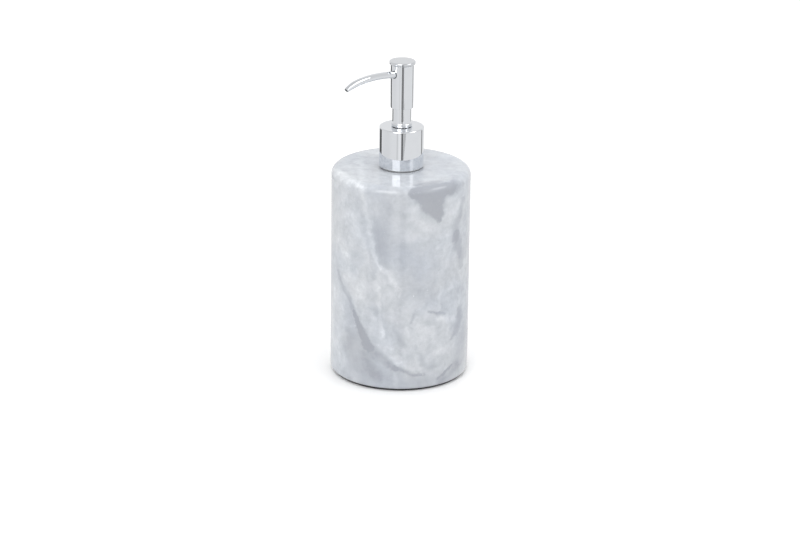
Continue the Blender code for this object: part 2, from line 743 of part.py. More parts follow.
def actuator_core(finish):
    """The plastic core of the head: it grips the stem and turns its channel into the spout."""
    socket_bore = STEM_RADIUS + SEAT_GAP
    channel_foot = core_foot + STEM_SOCKET_DEPTH
    core = turned("actuator_core", [
        (0, core_top),
        (core_radius - CORE_CHAMFER, core_top),
        (core_radius, core_top - CORE_CHAMFER),
        (core_radius, core_foot + CORE_CHAMFER),
        (core_radius - CORE_CHAMFER, core_foot),
        (socket_bore, core_foot),
        (socket_bore, channel_foot),
        (CHANNEL_RADIUS, channel_foot),
        (CHANNEL_RADIUS, spout_axis_point.z),
        (0, spout_axis_point.z),
    ], PUMP_SIDES, finish)
    passage = bar(
        "liner_passage", spout_axis_point, spout_direction, 2 * core_radius,
        liner_radius + SEAT_GAP, TUBE_SIDES,
    )
    socket = bar(
        "spout_socket", spout_axis_point + spout_direction * (core_radius - SPOUT_INSERTION - SEAT_GAP),
        spout_direction, core_radius, spout_socket_radius, TUBE_SIDES,
    )
    boolean(core, passage, "DIFFERENCE")
    boolean(core, socket, "DIFFERENCE")
    return core


def head_shell(finish):
    """The chrome tube of the head, which slides down over the sleeve and is pierced for the spout."""
    shell = turned("head_shell", [
        (head_bore_radius, head_top),
        (head_top_radius, head_top),
        (head_foot_radius, head_foot),
        (head_bore_radius, head_foot),
    ], COLLAR_SIDES, finish)
    hole = bar(
        "spout_hole", spout_axis_point + spout_direction * core_radius / 2, spout_direction,
        core_radius, SPOUT_RADIUS + SPOUT_HOLE_GAP, STEM_SIDES,
    )
    boolean(shell, hole, "DIFFERENCE")
    return shell


def head_cap(finish):
    """The chrome button that the thumb presses, with a spigot that fits inside the shell."""
    spigot_foot = core_top + SEAT_GAP
    return turned("head_cap", [
        (0, cap_top),
        (cap_radius, cap_top, CAP_ROUND),
        (cap_radius, cap_foot, CAP_ROUND),
        (core_radius, cap_foot),
        (core_radius, spigot_foot),
        (0, spigot_foot),
    ], COLLAR_SIDES, finish)


def spout_curve(place):
    """The point and direction at a place from 0 to 1 along the curved part of the spout."""
    root = spout_axis_point + spout_direction * (head_top_radius + SPOUT_ROOT_CLEAR)
    tip = Vector((0, -SPOUT_REACH, root.z - SPOUT_TIP_DROP))
    fall = Vector((0, -cos(SPOUT_FALL), -sin(SPOUT_FALL)))
    root_handle = root + spout_direction * SPOUT_ROOT_HANDLE
    tip_handle = tip - fall * SPOUT_TIP_HANDLE
    rest = 1 - place
    point = (
        rest**3 * root + 3 * rest**2 * place * root_handle + 3 * rest * place**2 * tip_handle
        + place**3 * tip
    )
    along = (
        rest**2 * (root_handle - root) + 2 * rest * place * (tip_handle - root_handle)
        + place**2 * (tip - tip_handle)
    )
    return point, along.normalized()


def spout_tube(finish):
    """The chrome spout, bent from one tube and drawn down at the tip."""
    start = spout_axis_point + spout_direction * (core_radius - SPOUT_INSERTION)
    stations = [(start, spout_direction, SPOUT_RADIUS, spout_bore_radius)]
    for step in range(SPOUT_STEPS + 1):
        place = step / SPOUT_STEPS
        taper = max(0, (place - SPOUT_TAPER_FROM) / (1 - SPOUT_TAPER_FROM))
        radius = SPOUT_RADIUS + (SPOUT_TIP_RADIUS - SPOUT_RADIUS) * taper
        bore = spout_bore_radius + (spout_tip_bore_radius - spout_bore_radius) * taper
        stations.append((*spout_curve(place), radius, bore))
    return tube_along("spout_tube", stations, TUBE_SIDES, finish)


def spout_liner(finish):
    """The plastic tube inside the spout, which carries the soap and ends where the tip tapers."""
    start = spout_axis_point + spout_direction * (core_radius - LINER_INSERTION)
    bore = liner_radius - LINER_WALL
    stations = [(start, spout_direction, liner_radius, bore)]
    for step in range(SPOUT_STEPS + 1):
        place = step / SPOUT_STEPS
        if place < SPOUT_TAPER_FROM:
            stations.append((*spout_curve(place), liner_radius, bore))
    return tube_along("spout_liner", stations, TUBE_SIDES, finish)


# ---------------------------------------------------------------- the dispenser


def build():
    clear_scene()
    marble = material("marble", (0.62, 0.64, 0.67), 0.16)
    plug_marble = material("plug_marble", (0.60, 0.62, 0.65), 0.45)
    pad_rubber = material("pad_rubber", (0.10, 0.10, 0.11), 0.85)
    chrome = {
        name: material(name, (0.86, 0.87, 0.88), 0.06, 1.0)
        for name in ("collar_chrome", "sleeve_chrome", "head_chrome", "cap_chrome", "spout_chrome")
    }
    plastics = {
        name: material(name, colour, 0.4)
        for name, colour in (
            ("neck_plastic", (0.80, 0.80, 0.79)),
            ("closure_plastic", (0.85, 0.85, 0.84)),
            ("cylinder_plastic", (0.83, 0.85, 0.85)),
            ("chaplet_plastic", (0.86, 0.86, 0.85)),
            ("stem_plastic", (0.87, 0.87, 0.86)),
            ("rod_plastic", (0.82, 0.82, 0.81)),
            ("core_plastic", (0.84, 0.84, 0.83)),
            ("seal_plastic", (0.88, 0.89, 0.90)),
            ("tube_plastic", (0.90, 0.91, 0.91)),
            ("liner_plastic", (0.89, 0.90, 0.90)),
        )
    }
    gasket_foam = material("gasket_foam", (0.70, 0.70, 0.69), 0.8)
    spring_steel = material("spring_steel", (0.58, 0.58, 0.60), 0.3, 1.0)
    ball_steel = material("ball_steel", (0.70, 0.70, 0.72), 0.12, 1.0)

    bottle = body_frame("bottle", 0)
    pump = body_frame("pump", neck_top, bottle)
    collar = body_frame("collar", collar_foot, pump)
    piston = body_frame("piston", seal_foot, pump)
    head = body_frame("head", head_foot, piston)
    ball = body_frame("ball", ball_height, pump)

    carry(bottle, marble_body(marble), base_plug(plug_marble), foot_pad(pad_rubber))
    carry(bottle, neck_insert(plastics["neck_plastic"]))
    carry(collar, collar_shell(chrome["collar_chrome"]), closure(plastics["closure_plastic"]))
    carry(pump, neck_gasket(gasket_foam), pump_cylinder(plastics["cylinder_plastic"]))
    carry(pump, chaplet(plastics["chaplet_plastic"]), guide_sleeve(chrome["sleeve_chrome"]))
    carry(pump, dip_tube(plastics["tube_plastic"]), return_spring(spring_steel))
    carry(ball, inlet_ball(ball_steel))
    carry(piston, piston_seal(plastics["seal_plastic"]))
    carry(head, stem(plastics["stem_plastic"]), piston_rod(plastics["rod_plastic"]))
    carry(head, actuator_core(plastics["core_plastic"]), head_shell(chrome["head_chrome"]))
    carry(head, head_cap(chrome["cap_chrome"]), spout_tube(chrome["spout_chrome"]))
    carry(head, spout_liner(plastics["liner_plastic"]))


build()
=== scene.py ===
from math import cos, degrees, pi, radians, sin, tan, tau

import bmesh
import bpy
from mathutils import Matrix, Quaternion, Vector


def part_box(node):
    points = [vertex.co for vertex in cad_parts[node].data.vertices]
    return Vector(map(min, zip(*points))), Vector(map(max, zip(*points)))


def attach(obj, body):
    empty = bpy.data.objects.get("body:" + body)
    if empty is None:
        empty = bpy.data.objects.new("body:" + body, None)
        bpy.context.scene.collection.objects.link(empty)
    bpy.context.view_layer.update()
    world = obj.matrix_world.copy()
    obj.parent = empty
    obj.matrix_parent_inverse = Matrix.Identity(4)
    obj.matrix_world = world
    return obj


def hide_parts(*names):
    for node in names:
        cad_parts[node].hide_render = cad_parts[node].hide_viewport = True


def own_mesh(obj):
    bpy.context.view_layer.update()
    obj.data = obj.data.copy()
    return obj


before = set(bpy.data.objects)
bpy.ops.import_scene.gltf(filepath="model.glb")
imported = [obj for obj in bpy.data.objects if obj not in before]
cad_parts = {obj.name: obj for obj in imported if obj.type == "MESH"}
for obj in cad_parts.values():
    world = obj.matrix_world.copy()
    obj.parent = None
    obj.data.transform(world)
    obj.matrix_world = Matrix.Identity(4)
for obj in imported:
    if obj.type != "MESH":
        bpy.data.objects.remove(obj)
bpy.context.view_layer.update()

# ================================================================ marble body
# One block of pale blue-grey marble, turned outside, bored wide from below for the soap and
# drilled through its roof for the neck, then polished. Its veins run through the stone, so
# they carry on over the rounded top edge.
MM = 0.001
DOUBLES = 0.001 * MM  # vertices closer than this are merged
FACET_ANGLE = radians(32)  # edges sharper than this stay sharp


class Shade:
    """A socket in a material's nodes. Arithmetic on it adds Math nodes."""

    def __init__(self, tree, socket=None):
        self.tree = tree
        self.socket = socket

    def node(self, kind, settings=None, sockets=None, output=0):
        """Adds a node of a kind, sets it up, and fills its sockets with values or links."""
        made = self.tree.nodes.new("ShaderNode" + kind)
        for name, value in (settings or {}).items():
            if name == "stops":
                ramp = made.color_ramp.elements
                while len(ramp) < len(value):
                    ramp.new(1.0)
                for element, (position, colour) in zip(ramp, value):
                    element.position, element.color = position, (*colour, 1.0)
            else:
                setattr(made, name, value)
        for name, value in (sockets or {}).items():
            if isinstance(value, Shade):
                self.tree.links.new(value.socket, made.inputs[name])
            else:
                made.inputs[name].default_value = value
        return Shade(self.tree, made.outputs[output])

    def maths(self, operation, *others):
        """This value worked on by a Math node."""
        return self.node("Math", {"operation": operation}, dict(enumerate((self, *others))))

    def vector(self, operation, *others, output=0):
        """This vector worked on by a Vector Math node."""
        values = dict(enumerate((self, *others)))
        return self.node("VectorMath", {"operation": operation}, values, output)

    def __add__(self, other):
        return self.maths("ADD", other)

    def __sub__(self, other):
        return self.maths("SUBTRACT", other)

    def __rsub__(self, other):
        return self.node("Math", {"operation": "SUBTRACT"}, {0: other, 1: self})

    def __mul__(self, other):
        return self.maths("MULTIPLY", other)

    def __truediv__(self, other):
        return self.maths("DIVIDE", other)

    __radd__ = __add__
    __rmul__ = __mul__

    def smooth(self, start, end):
        """0 below start, 1 above end, and a smooth step in between."""
        return self.node(
            "MapRange", {"interpolation_type": "SMOOTHSTEP"},
            {"Value": self, "From Min": start, "From Max": end},
        )

    def mix(self, first, second):
        """The first colour where this value is 0 and the second where it is 1."""
        return self.node("Mix", {"data_type": "RGBA"}, {0: self, 6: first, 7: second}, output=2)

    def noise(self, scale, detail=2.0, roughness=0.5, distortion=0.0, output=0):
        """Noise read at this place, with a number of lumps to the metre."""
        return self.node("TexNoise", {}, {
            "Vector": self, "Scale": scale, "Detail": detail,
            "Roughness": roughness, "Distortion": distortion,
        }, output)


def material(name, roughness, metallic=0.0):
    """A new material, with its Principled shader and a Shade that reads Object coordinates."""
    made = bpy.data.materials.new(name)
    made.use_nodes = True
    shader = made.node_tree.nodes["Principled BSDF"]
    shader.inputs["Roughness"].default_value = roughness
    shader.inputs["Metallic"].default_value = metallic
    place = Shade(made.node_tree).node("TexCoord", output=3)
    return made, shader, place


def feed(shader, **inputs):
    """Links Shades to the shader's sockets, whose names are given with _ for each space."""
    for name, value in inputs.items():
        value.tree.links.new(value.socket, shader.inputs[name.replace("_", " ")])


def bump(height, depth):
    """A Normal from a height of 0 to 1 that stands for a real depth in metres."""
    return height.node("Bump", {}, {"Strength": 1.0, "Distance": depth, "Height": height})


def fresh(piece=None):
    """Leaves edit mode and selects nothing, or only this piece."""
    if bpy.context.mode != "OBJECT":
        bpy.ops.object.mode_set(mode="OBJECT")
    bpy.ops.object.select_all(action="DESELECT")
    if piece:
        piece.select_set(True)
        bpy.context.view_layer.objects.active = piece


def select_near(spot, reach):
    """In edit mode, selects the vertices that are within reach of a spot."""
    bpy.ops.mesh.select_mode(type="VERT")
    bpy.ops.mesh.select_all(action="DESELECT")
    piece = bpy.context.edit_object
    mesh = bmesh.from_edit_mesh(piece.data)
    for vertex in mesh.verts:
        vertex.select_set((vertex.co - spot).length < reach)
    mesh.select_flush_mode()
    bmesh.update_edit_mesh(piece.data)


def clean():
    """In edit mode, merges the piece's doubled vertices and turns its normals outward."""
    bpy.ops.mesh.select_all(action="SELECT")
    bpy.ops.mesh.remove_doubles(threshold=DOUBLES)
    bpy.ops.mesh.normals_make_consistent(inside=False)


def drawn(name, outline):
    """In edit mode, a line drawn through points of (radius, height) by extruding a vertex."""
    fresh()
    bpy.ops.mesh.primitive_plane_add(size=MM, location=(0, 0, 0), enter_editmode=True)
    piece = bpy.context.object
    piece.name = piece.data.name = name
    bpy.ops.mesh.select_all(action="SELECT")
    bpy.ops.mesh.merge(type="CENTER")
    radius, height = outline[0][:2]
    bpy.ops.transform.translate(value=(radius, 0, height))
    for corner in outline[1:]:
        step = (corner[0] - radius, 0, corner[1] - height)
        bpy.ops.mesh.extrude_vertices_move(TRANSFORM_OT_translate={"value": step})
        radius, height = corner[:2]
    return piece


def turned(name, outline, sides=128, round_steps=6):
    """A piece cut on a lathe. Its outline, from point to point of (radius, height) or (radius,
    height, rounding), is drawn, has its corners bevelled, and is spun round the axis."""
    if outline[0][0] > 0 or outline[-1][0] > 0:
        outline = [*outline, outline[0]]
    piece = drawn(name, outline)
    for corner in outline:
        if len(corner) == 3:
            select_near(Vector((corner[0], 0, corner[1])), DOUBLES)
            bpy.ops.mesh.bevel(
                offset_type="OFFSET", offset=corner[2], segments=round_steps, affect="VERTICES"
            )
    bpy.ops.mesh.select_all(action="SELECT")
    bpy.ops.mesh.spin(steps=sides, angle=tau, center=(0, 0, 0), axis=(0, 0, 1))
    clean()
    return piece


def done(piece, body, slot, look, *nodes, inner=None):
    """Leaves edit mode, smooths the piece, gives it its look, and puts it in the nodes' place."""
    fresh(piece)
    bpy.ops.object.transform_apply(location=True, rotation=True, scale=True)
    bpy.ops.object.shade_smooth_by_angle(angle=FACET_ANGLE)
    straight = piece.modifiers.new("straight_walls", "WEIGHTED_NORMAL")
    straight.keep_sharp = True
    bpy.ops.object.modifier_apply(modifier=straight.name)
    piece.data.materials.clear()
    piece.data.materials.append(look)
    if inner:
        piece.data.materials.append(inner)
    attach(piece, body)
    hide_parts(*nodes)


FIT_GAP = 0.3 * MM  # between pieces that are glued, clipped or pressed together
ROOF_THICKNESS = 14.6 * MM
FLANGE_LAP = 0.9 * MM  # how far the neck's flange reaches over the edge of its hole
TOP_ROUNDING, FOOT_ROUNDING, ROOF_ROUNDING = 4.7 * MM, 2.2 * MM, 5.0 * MM
HOLE_EASING, CAVITY_EASING = 0.4 * MM, 0.3 * MM

foot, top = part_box("marble_body")
body_radius = top.x
body_foot, body_top = foot.z, top.z
cavity_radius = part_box("base_plug")[1].x + FIT_GAP
cavity_top = body_top - ROOF_THICKNESS
neck_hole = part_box("neck_insert")[1].x - FLANGE_LAP

body = turned("marble_block", [
    (neck_hole, body_top, HOLE_EASING),
    (body_radius, body_top, TOP_ROUNDING),
    (body_radius, body_foot, FOOT_ROUNDING),
    (cavity_radius, body_foot, CAVITY_EASING),
    (cavity_radius, cavity_top, ROOF_ROUNDING),
    (neck_hole, cavity_top, HOLE_EASING),
], sides=192, round_steps=10)

SPOUT_SIDE = radians(47)  # how far the best side of the stone is turned from the spout


def marble(name, roughness, placed_veins=True):
    """Blue-grey stone with clouds, wisps and flecks, and veins laid where the block shows them."""
    made, shader, place = material(name, roughness)
    turned_place = place.node("Mapping", {}, {"Vector": place, "Rotation": (0, 0, -SPOUT_SIDE)})
    warp = turned_place.noise(38.0, detail=3.0, output=1)
    warp = warp.vector("SUBTRACT", (0.5, 0.5, 0.5))
    fine_warp = turned_place.noise(190.0, detail=5.0, roughness=0.62, output=1)
    fine_warp = fine_warp.vector("SUBTRACT", (0.5, 0.5, 0.5))

    def bent(spot, amount, fine_amount):
        """A place pushed about by the two warps, by these amounts in metres."""
        spot = warp.vector("MULTIPLY_ADD", (amount,) * 3, spot)
        return fine_warp.vector("MULTIPLY_ADD", (fine_amount,) * 3, spot)

    # Clouds and long wisps, stretched along the steep grain of the stone
    grain = turned_place.node(
        "Mapping", {"vector_type": "TEXTURE"},
        {"Vector": bent(turned_place, 14 * MM, 3 * MM), "Rotation": (0, radians(-14), 0),
         "Scale": (1.0, 1.0, 3.6)},
    )
    clouds = bent(turned_place, 20 * MM, 5 * MM).noise(30.0, detail=4.0, roughness=0.55)
    wisps = grain.noise(95.0, detail=4.0, roughness=0.6)
    feathers = bent(turned_place, 6 * MM, 4 * MM).noise(110.0, detail=5.0, roughness=0.62)
    grit = turned_place.noise(1500.0, detail=2.0, roughness=0.7)
    mottle = bent(turned_place, 3 * MM, 3 * MM).noise(260.0, detail=4.0, roughness=0.7)
    tone = 0.45 + (clouds - 0.5) * 0.36 + (wisps - 0.5) * 0.36 + (feathers - 0.5) * 0.50
    tone = tone + (mottle - 0.5) * 0.42 + (grit - 0.5) * 0.08

    # Placed veins are strokes on the block laid flat: up its front wall and on across its top.
    # Each is a sheet that slopes down as it runs back through the stone.
    if placed_veins:
        across, deep, height = (
            turned_place.node("SeparateXYZ", {}, {0: turned_place}, output=index)
            for index in range(3)
        )
        front = (body_radius**2 - across * across).maths("MAXIMUM", 0.0).maths("SQRT")
        spread = height + front + deep
        flat = place.node("CombineXYZ", {}, {0: across, 1: spread})
        spot = bent(flat, 6 * MM, 5 * MM).vector("MULTIPLY", (1, 1, 0))
        patchy = 0.22 + feathers * 0.66 + mottle * 0.56
        broken = mottle * 3.4 + feathers - 1.2
        for strength, soft, points in VEINS:
            vein = stroke(spot, points, soft) * (patchy if strength > 0 else broken)
            tone = tone + vein * strength

    # Tones become colours, a little deeper in places, and drift between cool and warm
    stone = tone.node("ValToRGB", {"stops": STONE_COLOURS}, {0: tone})
    depth = 0.83 + mottle * 0.14 + feathers * 0.10
    stone = stone.node("VectorMath", {"operation": "SCALE"}, {0: stone, "Scale": depth})
    tint = clouds.smooth(0.35, 0.65).mix((0.992, 1.000, 1.012, 1.0), (1.008, 1.000, 0.988, 1.0))
    stone = stone.vector("MULTIPLY", tint)

    # Small crystals, dark in some places and bright in others
    flecks = turned_place.node(
        "TexVoronoi", {}, {"Vector": bent(turned_place, 0.0, 6 * MM), "Scale": 620.0}
    )
    fleck_choice = turned_place.noise(160.0, detail=1.0)
    dark_flecks = (1 - flecks.smooth(0.10, 0.24)) * fleck_choice.smooth(0.60, 0.70)
    bright_flecks = (1 - flecks.smooth(0.06, 0.16)) * (1 - fleck_choice.smooth(0.28, 0.34))
    stone = (dark_flecks * 0.55).mix(stone, (0.30, 0.31, 0.34, 1.0))
    stone = (bright_flecks * 0.5).mix(stone, (0.90, 0.91, 0.93, 1.0))
    polish = roughness + (wisps - 0.5) * 0.03 + dark_flecks * 0.12
    feed(shader, Base_Color=stone, Roughness=polish, Normal=bump(grit * 0.4 + clouds, 0.004 * MM))
    shader.inputs["IOR"].default_value = 1.55
    return made


def stroke(spot, points, soft):
    """A brush line through points of (across, height, half width): 1 along it, 0 outside."""
    line = None
    for (x0, z0, w0), (x1, z1, w1) in zip(points, points[1:]):
        start, run = Vector((x0, z0, 0)) * MM, Vector((x1 - x0, z1 - z0, 0)) * MM
        from_start = spot.vector("SUBTRACT", start)
        along = from_start.vector("DOT_PRODUCT", run / run.length_squared, output=1)
        along = along.node("Clamp", {}, {0: along})
        nearest = spot.node("VectorMath", {"operation": "SCALE"}, {0: run, "Scale": along})
        away = from_start.vector("SUBTRACT", nearest).vector("LENGTH", output=1)
        edge = away / (w0 * MM + along * ((w1 - w0) * MM))
        line = edge if line is None else line.maths("MINIMUM", edge)
    return 1 - line.smooth(1 - soft, 1 + soft)


# Tones from dark vein to white vein
STONE_COLOURS = [
    (0.00, (0.325, 0.342, 0.376)),
    (0.25, (0.395, 0.416, 0.456)),
    (0.50, (0.478, 0.502, 0.538)),
    (0.75, (0.560, 0.584, 0.617)),
    (1.00, (0.690, 0.714, 0.745)),
]

# Veins as (strength, softness, points of (across, height, half width) in millimetres). Heights
# over the top edge run on across the stone's top face.
VEINS = [
    # the long white vein from the top face down, with a second one at its left
    (0.23, 0.8, [(-24, 170, 3.0), (-23.5, 145, 1.8), (-24, 128, 1.2), (-22, 116, 1.3), (-19, 101, 1.5)]),
    (0.26, 0.8, [(-19, 101, 1.5), (-17, 91, 1.5), (-15, 84, 1.6), (-12.5, 79, 1.5)]),
    (0.17, 1.0, [(-29, 112, 1.5), (-26, 99, 1.7), (-22, 90, 1.8), (-17, 78, 1.5)]),
    # where it forks: to the right, and straight on down
    (0.21, 0.9, [(-12.5, 79, 1.2), (-8, 76, 1.4), (-5, 72, 1.8), (-1, 66, 1.4), (0, 61, 0.8)]),
    (0.18, 1.0, [(-13, 77, 1.5), (-14, 67, 2.4), (-11, 70, 2.0)]),
    (0.22, 0.8, [(-13, 67, 1.0), (-12.5, 56, 0.8), (-11.5, 46, 0.9), (-9.5, 37, 1.2)]),
    (0.20, 1.0, [(-15, 47, 1.6), (-12, 40, 2.2), (-8, 31, 2.4), (-5, 25, 2.4), (0, 18, 1.6)]),
    (0.15, 1.0, [(-5, 26, 3.0), (2, 17, 3.0), (9, 14, 2.4), (15, 14, 1.6)]),
    # the broad white band at the left
    (0.20, 1.0, [(-37, 90, 1.6), (-34, 81, 2.6), (-29, 72, 4.6), (-25, 64, 4.6), (-22, 58, 2.5)]),
    (0.09, 1.0, [(-27, 58, 4.0), (-21, 48, 4.5), (-17, 40, 3.0)]),
    (-0.20, 1.0, [(-31, 34, 2.5), (-30, 22, 4.0), (-28, 13, 3.0)]),
    (-0.30, 1.0, [(36, 10, 3.0), (30, 6, 3.0), (25, 3, 2.0)]),
    # the left side made lighter from the foot to the top edge, in two broad strokes
    (0.14, 1.0, [(-34, 120, 9.0), (-34, 90, 9.0), (-32, 60, 7.0)]),
    (0.30, 1.0, [(-39, 56, 3.0), (-39, 30, 4.5), (-38, 10, 4.0)]),
    # white cloud on the top face at the left
    (0.42, 1.0, [(-38, 137, 5.0), (-33, 134, 6.0), (-27, 131, 4.5), (-24, 130, 3.0)]),
    (0.13, 1.0, [(-38, 128, 3.0), (-36, 116, 2.5), (-33, 104, 2.0)]),
    # the dark streak that runs down to the foot, and the bluish stone under it
    (-0.28, 0.9, [(-37, 70, 0.7), (-34, 62, 1.1), (-30, 55, 1.2), (-28, 50, 1.4)]),
    (-0.74, 0.8, [(-27.5, 49, 0.9), (-25, 42, 1.7), (-21.5, 34, 2.2), (-18, 28, 2.0)]),
    (-0.34, 0.9, [(-19, 29, 2.4), (-13, 23, 2.4), (-7, 18, 1.8), (-2, 14, 1.4)]),
    (-0.34, 0.8, [(-3, 16, 1.5), (3, 12.5, 1.5), (9, 10.5, 1.2), (16, 11, 0.8)]),
    (-0.26, 1.0, [(-20, 23, 2.6), (-17, 15, 3.6), (-14, 10, 3.4)]),
    (-0.14, 1.0, [(-26, 34, 4.0), (-24, 20, 5.0), (-20, 6, 6.0)]),
    (-0.16, 1.0, [(-10, 12, 5.0), (4, 4, 5.0), (18, 5, 4.0)]),
    (0.16, 0.9, [(-3.5, 13, 0.8), (-2, 8, 1.6), (-1, 2, 1.8)]),
    # the dark angular patch across the top edge
    (-0.36, 0.55, [(12, 137, 4.0), (20, 137, 4.6), (23, 134, 3.6)]),
    (-0.66, 0.40, [(9, 129, 4.0), (18, 128, 6.5), (27, 128, 5.0)]),
    (-0.54, 0.50, [(14, 123, 4.5), (20, 119, 6.0), (23, 113, 3.4), (23.5, 109, 1.6)]),
    # a painted highlight: a thin white stroke on the rounded top edge, where the edge's bright
    # reflection crosses the dark patch
    (0.22, 0.7, [(18, 132, 0.6), (20, 129, 0.7), (21.5, 128.5, 0.6)]),
    (-0.24, 0.8, [(31, 135, 1.6), (33, 128, 3.0), (30, 123, 1.6)]),
    # the pale stone round it
    (0.15, 1.0, [(8, 118, 2.0), (10, 111, 3.6), (16, 105, 3.0)]),
    (0.11, 1.0, [(-2, 106, 3.0), (6, 100, 3.5), (14, 98, 2.0)]),
    (0.17, 1.0, [(31, 121, 2.0), (33, 115, 3.4), (30, 107, 2.6)]),
    (-0.22, 0.6, [(37, 117, 1.2), (35.5, 108, 1.4), (33, 101, 1.6), (33, 94, 1.6)]),
    (-0.26, 0.7, [(34, 98, 1.2), (35, 88, 1.8), (36, 80, 1.8), (36.5, 74, 1.0)]),
    (0.13, 1.0, [(38, 78, 2.4), (36, 68, 3.0), (31, 63, 2.0)]),
    # darker and bluer in the middle, to the right of the long vein
    (-0.20, 1.0, [(-13, 104, 4.0), (-12, 92, 3.6), (-9, 82, 3.0)]),
    (-0.08, 1.0, [(3, 96, 10.0), (8, 80, 12.0), (14, 64, 10.0)]),
    (-0.08, 1.0, [(-10, 122, 9.0), (-2, 112, 9.0)]),
    # feathery whites and small dark marks at the lower right
    (0.13, 0.8, [(25.5, 66, 0.8), (24.5, 58, 1.0), (24, 50, 0.9)]),
    (0.22, 1.0, [(24, 45, 1.6), (28, 44, 2.6), (32, 43, 1.8)]),
    (0.13, 1.0, [(10, 46, 2.0), (15, 41, 3.4), (20, 36, 3.0)]),
    (0.12, 1.0, [(-4, 54, 1.6), (0, 47, 2.0), (5, 40, 1.8)]),
    (0.12, 1.0, [(14, 28, 2.0), (19, 22, 2.2), (25, 24, 2.0)]),
    (-0.30, 0.8, [(17, 50, 0.7), (22, 48.5, 1.1), (27, 47.5, 0.8)]),
    (-0.26, 0.9, [(9.5, 50, 1.2), (8, 45, 0.8)]),
    (-0.20, 1.0, [(-3, 42, 1.4), (0, 36, 1.8), (2, 31, 2.0)]),
    (-0.26, 0.8, [(36, 48, 1.2), (36, 40, 1.8), (34, 33, 1.5), (31, 30, 1.1)]),
    (-0.18, 1.0, [(14, 20, 2.0), (16, 15, 2.0), (22, 16, 1.5)]),
    (-0.34, 0.7, [(32, 12, 0.8), (28, 8, 1.0), (24, 6, 0.8)]),
    (-0.14, 1.0, [(38, 30, 3.0), (37, 12, 4.0)]),
]

marble_polish = marble("polished_marble", 0.10)
done(body, "bottle", "marble", marble_polish, "marble_body")

# ================================================================ base plug
# A disc of the same marble, cut to fit the bore, honed, and glued in from below to hold the
# soap. The foot pad hides it, so no veins are placed on it.
foot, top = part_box("base_plug")
plug = turned("honed_plug", [
    (0, top.z), (top.x, top.z, 1.0 * MM), (top.x, foot.z, 0.4 * MM), (0, foot.z),
], sides=160)
done(plug, "bottle", "plug_marble", marble("honed_marble", 0.42, placed_veins=False), "base_plug")

# ================================================================ foot pad
# A thin disc of dark foam rubber, die-cut and stuck under the stone so that it can't slip.
# Shallow rings are pressed into its underside.
PAD_RINGS = 7
PAD_RING_DEPTH = 0.12 * MM
PAD_RING_HALF_MOUTH, PAD_RING_HALF_FLOOR = 0.6 * MM, 0.3 * MM

foot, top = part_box("foot_pad")
outline = [(0, top.z), (top.x, top.z, 0.15 * MM), (top.x, 0, 0.2 * MM)]
ring_pitch = top.x / (PAD_RINGS + 1)
for ring in range(PAD_RINGS, 0, -1):
    radius = ring * ring_pitch
    outline += [
        (radius + PAD_RING_HALF_MOUTH, 0), (radius + PAD_RING_HALF_FLOOR, PAD_RING_DEPTH),
        (radius - PAD_RING_HALF_FLOOR, PAD_RING_DEPTH), (radius - PAD_RING_HALF_MOUTH, 0),
    ]
pad = turned("anti_slip_pad", [*outline, (0, 0)], sides=160)
rubber, shader, place = material("foam_rubber", 0.85)
pores = place.node("TexVoronoi", {}, {"Vector": place, "Scale": 1400.0})
dust = place.noise(90.0, detail=4.0)
feed(
    shader,
    Base_Color=dust.smooth(0.3, 0.7).mix((0.030, 0.030, 0.033, 1), (0.055, 0.055, 0.058, 1)),
    Roughness=0.78 + dust * 0.14,
    Normal=bump(pores, 0.08 * MM),
)
done(pad, "bottle", "pad_rubber", rubber, "foot_pad")

# ================================================================ threaded neck
# A moulded white bush, glued into the roof with its flange on the stone. Two glue grooves run
# round its shank, and a right-hand thread of one and a half turns stands on its neck.
THREAD_PITCH = 3.175 * MM
THREAD_TURNS = 1.5
THREAD_STEPS = 64
THREAD_HALF_BASE, THREAD_HALF_LAND = 0.85 * MM, 0.5 * MM
# How far the ridge's base, and its crest at the two ends, are sunk in the wall
THREAD_SUNK, THREAD_FLUSH = 0.3 * MM, 0.1 * MM


def thread(name, wall, crest, start):
    """A ridge on a wall: its profile swept up a helix by a Screw modifier, run out at both ends."""
    outward = 1 if crest > wall else -1
    sunk = wall - outward * THREAD_SUNK
    ridge = drawn(name, [
        (sunk, start - THREAD_HALF_BASE), (crest, start - THREAD_HALF_LAND),
        (crest, start + THREAD_HALF_LAND), (sunk, start + THREAD_HALF_BASE),
        (sunk, start - THREAD_HALF_BASE),
    ])
    bpy.ops.mesh.select_all(action="SELECT")
    bpy.ops.mesh.remove_doubles(threshold=DOUBLES)
    fresh(ridge)
    helix = ridge.modifiers.new("helix", "SCREW")
    helix.angle = tau * THREAD_TURNS
    helix.screw_offset = THREAD_PITCH * THREAD_TURNS
    helix.steps = helix.render_steps = round(THREAD_STEPS * THREAD_TURNS)
    helix.use_smooth_shade = False
    bpy.ops.object.modifier_apply(modifier=helix.name)
    bpy.ops.object.mode_set(mode="EDIT")
    bpy.ops.mesh.select_all(action="SELECT")
    bpy.ops.mesh.fill_holes(sides=4)
    flush = wall - outward * THREAD_FLUSH
    end_steps = THREAD_STEPS // 8
    for step in range(end_steps):
        radius = flush + (crest - flush) * step / end_steps
        for turn in (step / THREAD_STEPS, THREAD_TURNS - step / THREAD_STEPS):
            height = start + turn * THREAD_PITCH
            spot = Vector((crest * cos(tau * turn), crest * sin(tau * turn), height))
            select_near(spot, 1.1 * THREAD_HALF_LAND)
            bpy.ops.transform.resize(
                value=(radius / crest, radius / crest, 1), center_override=(0, 0, 0)
            )
    bpy.ops.mesh.select_all(action="SELECT")
    bpy.ops.mesh.normals_make_consistent(inside=False)
    return ridge


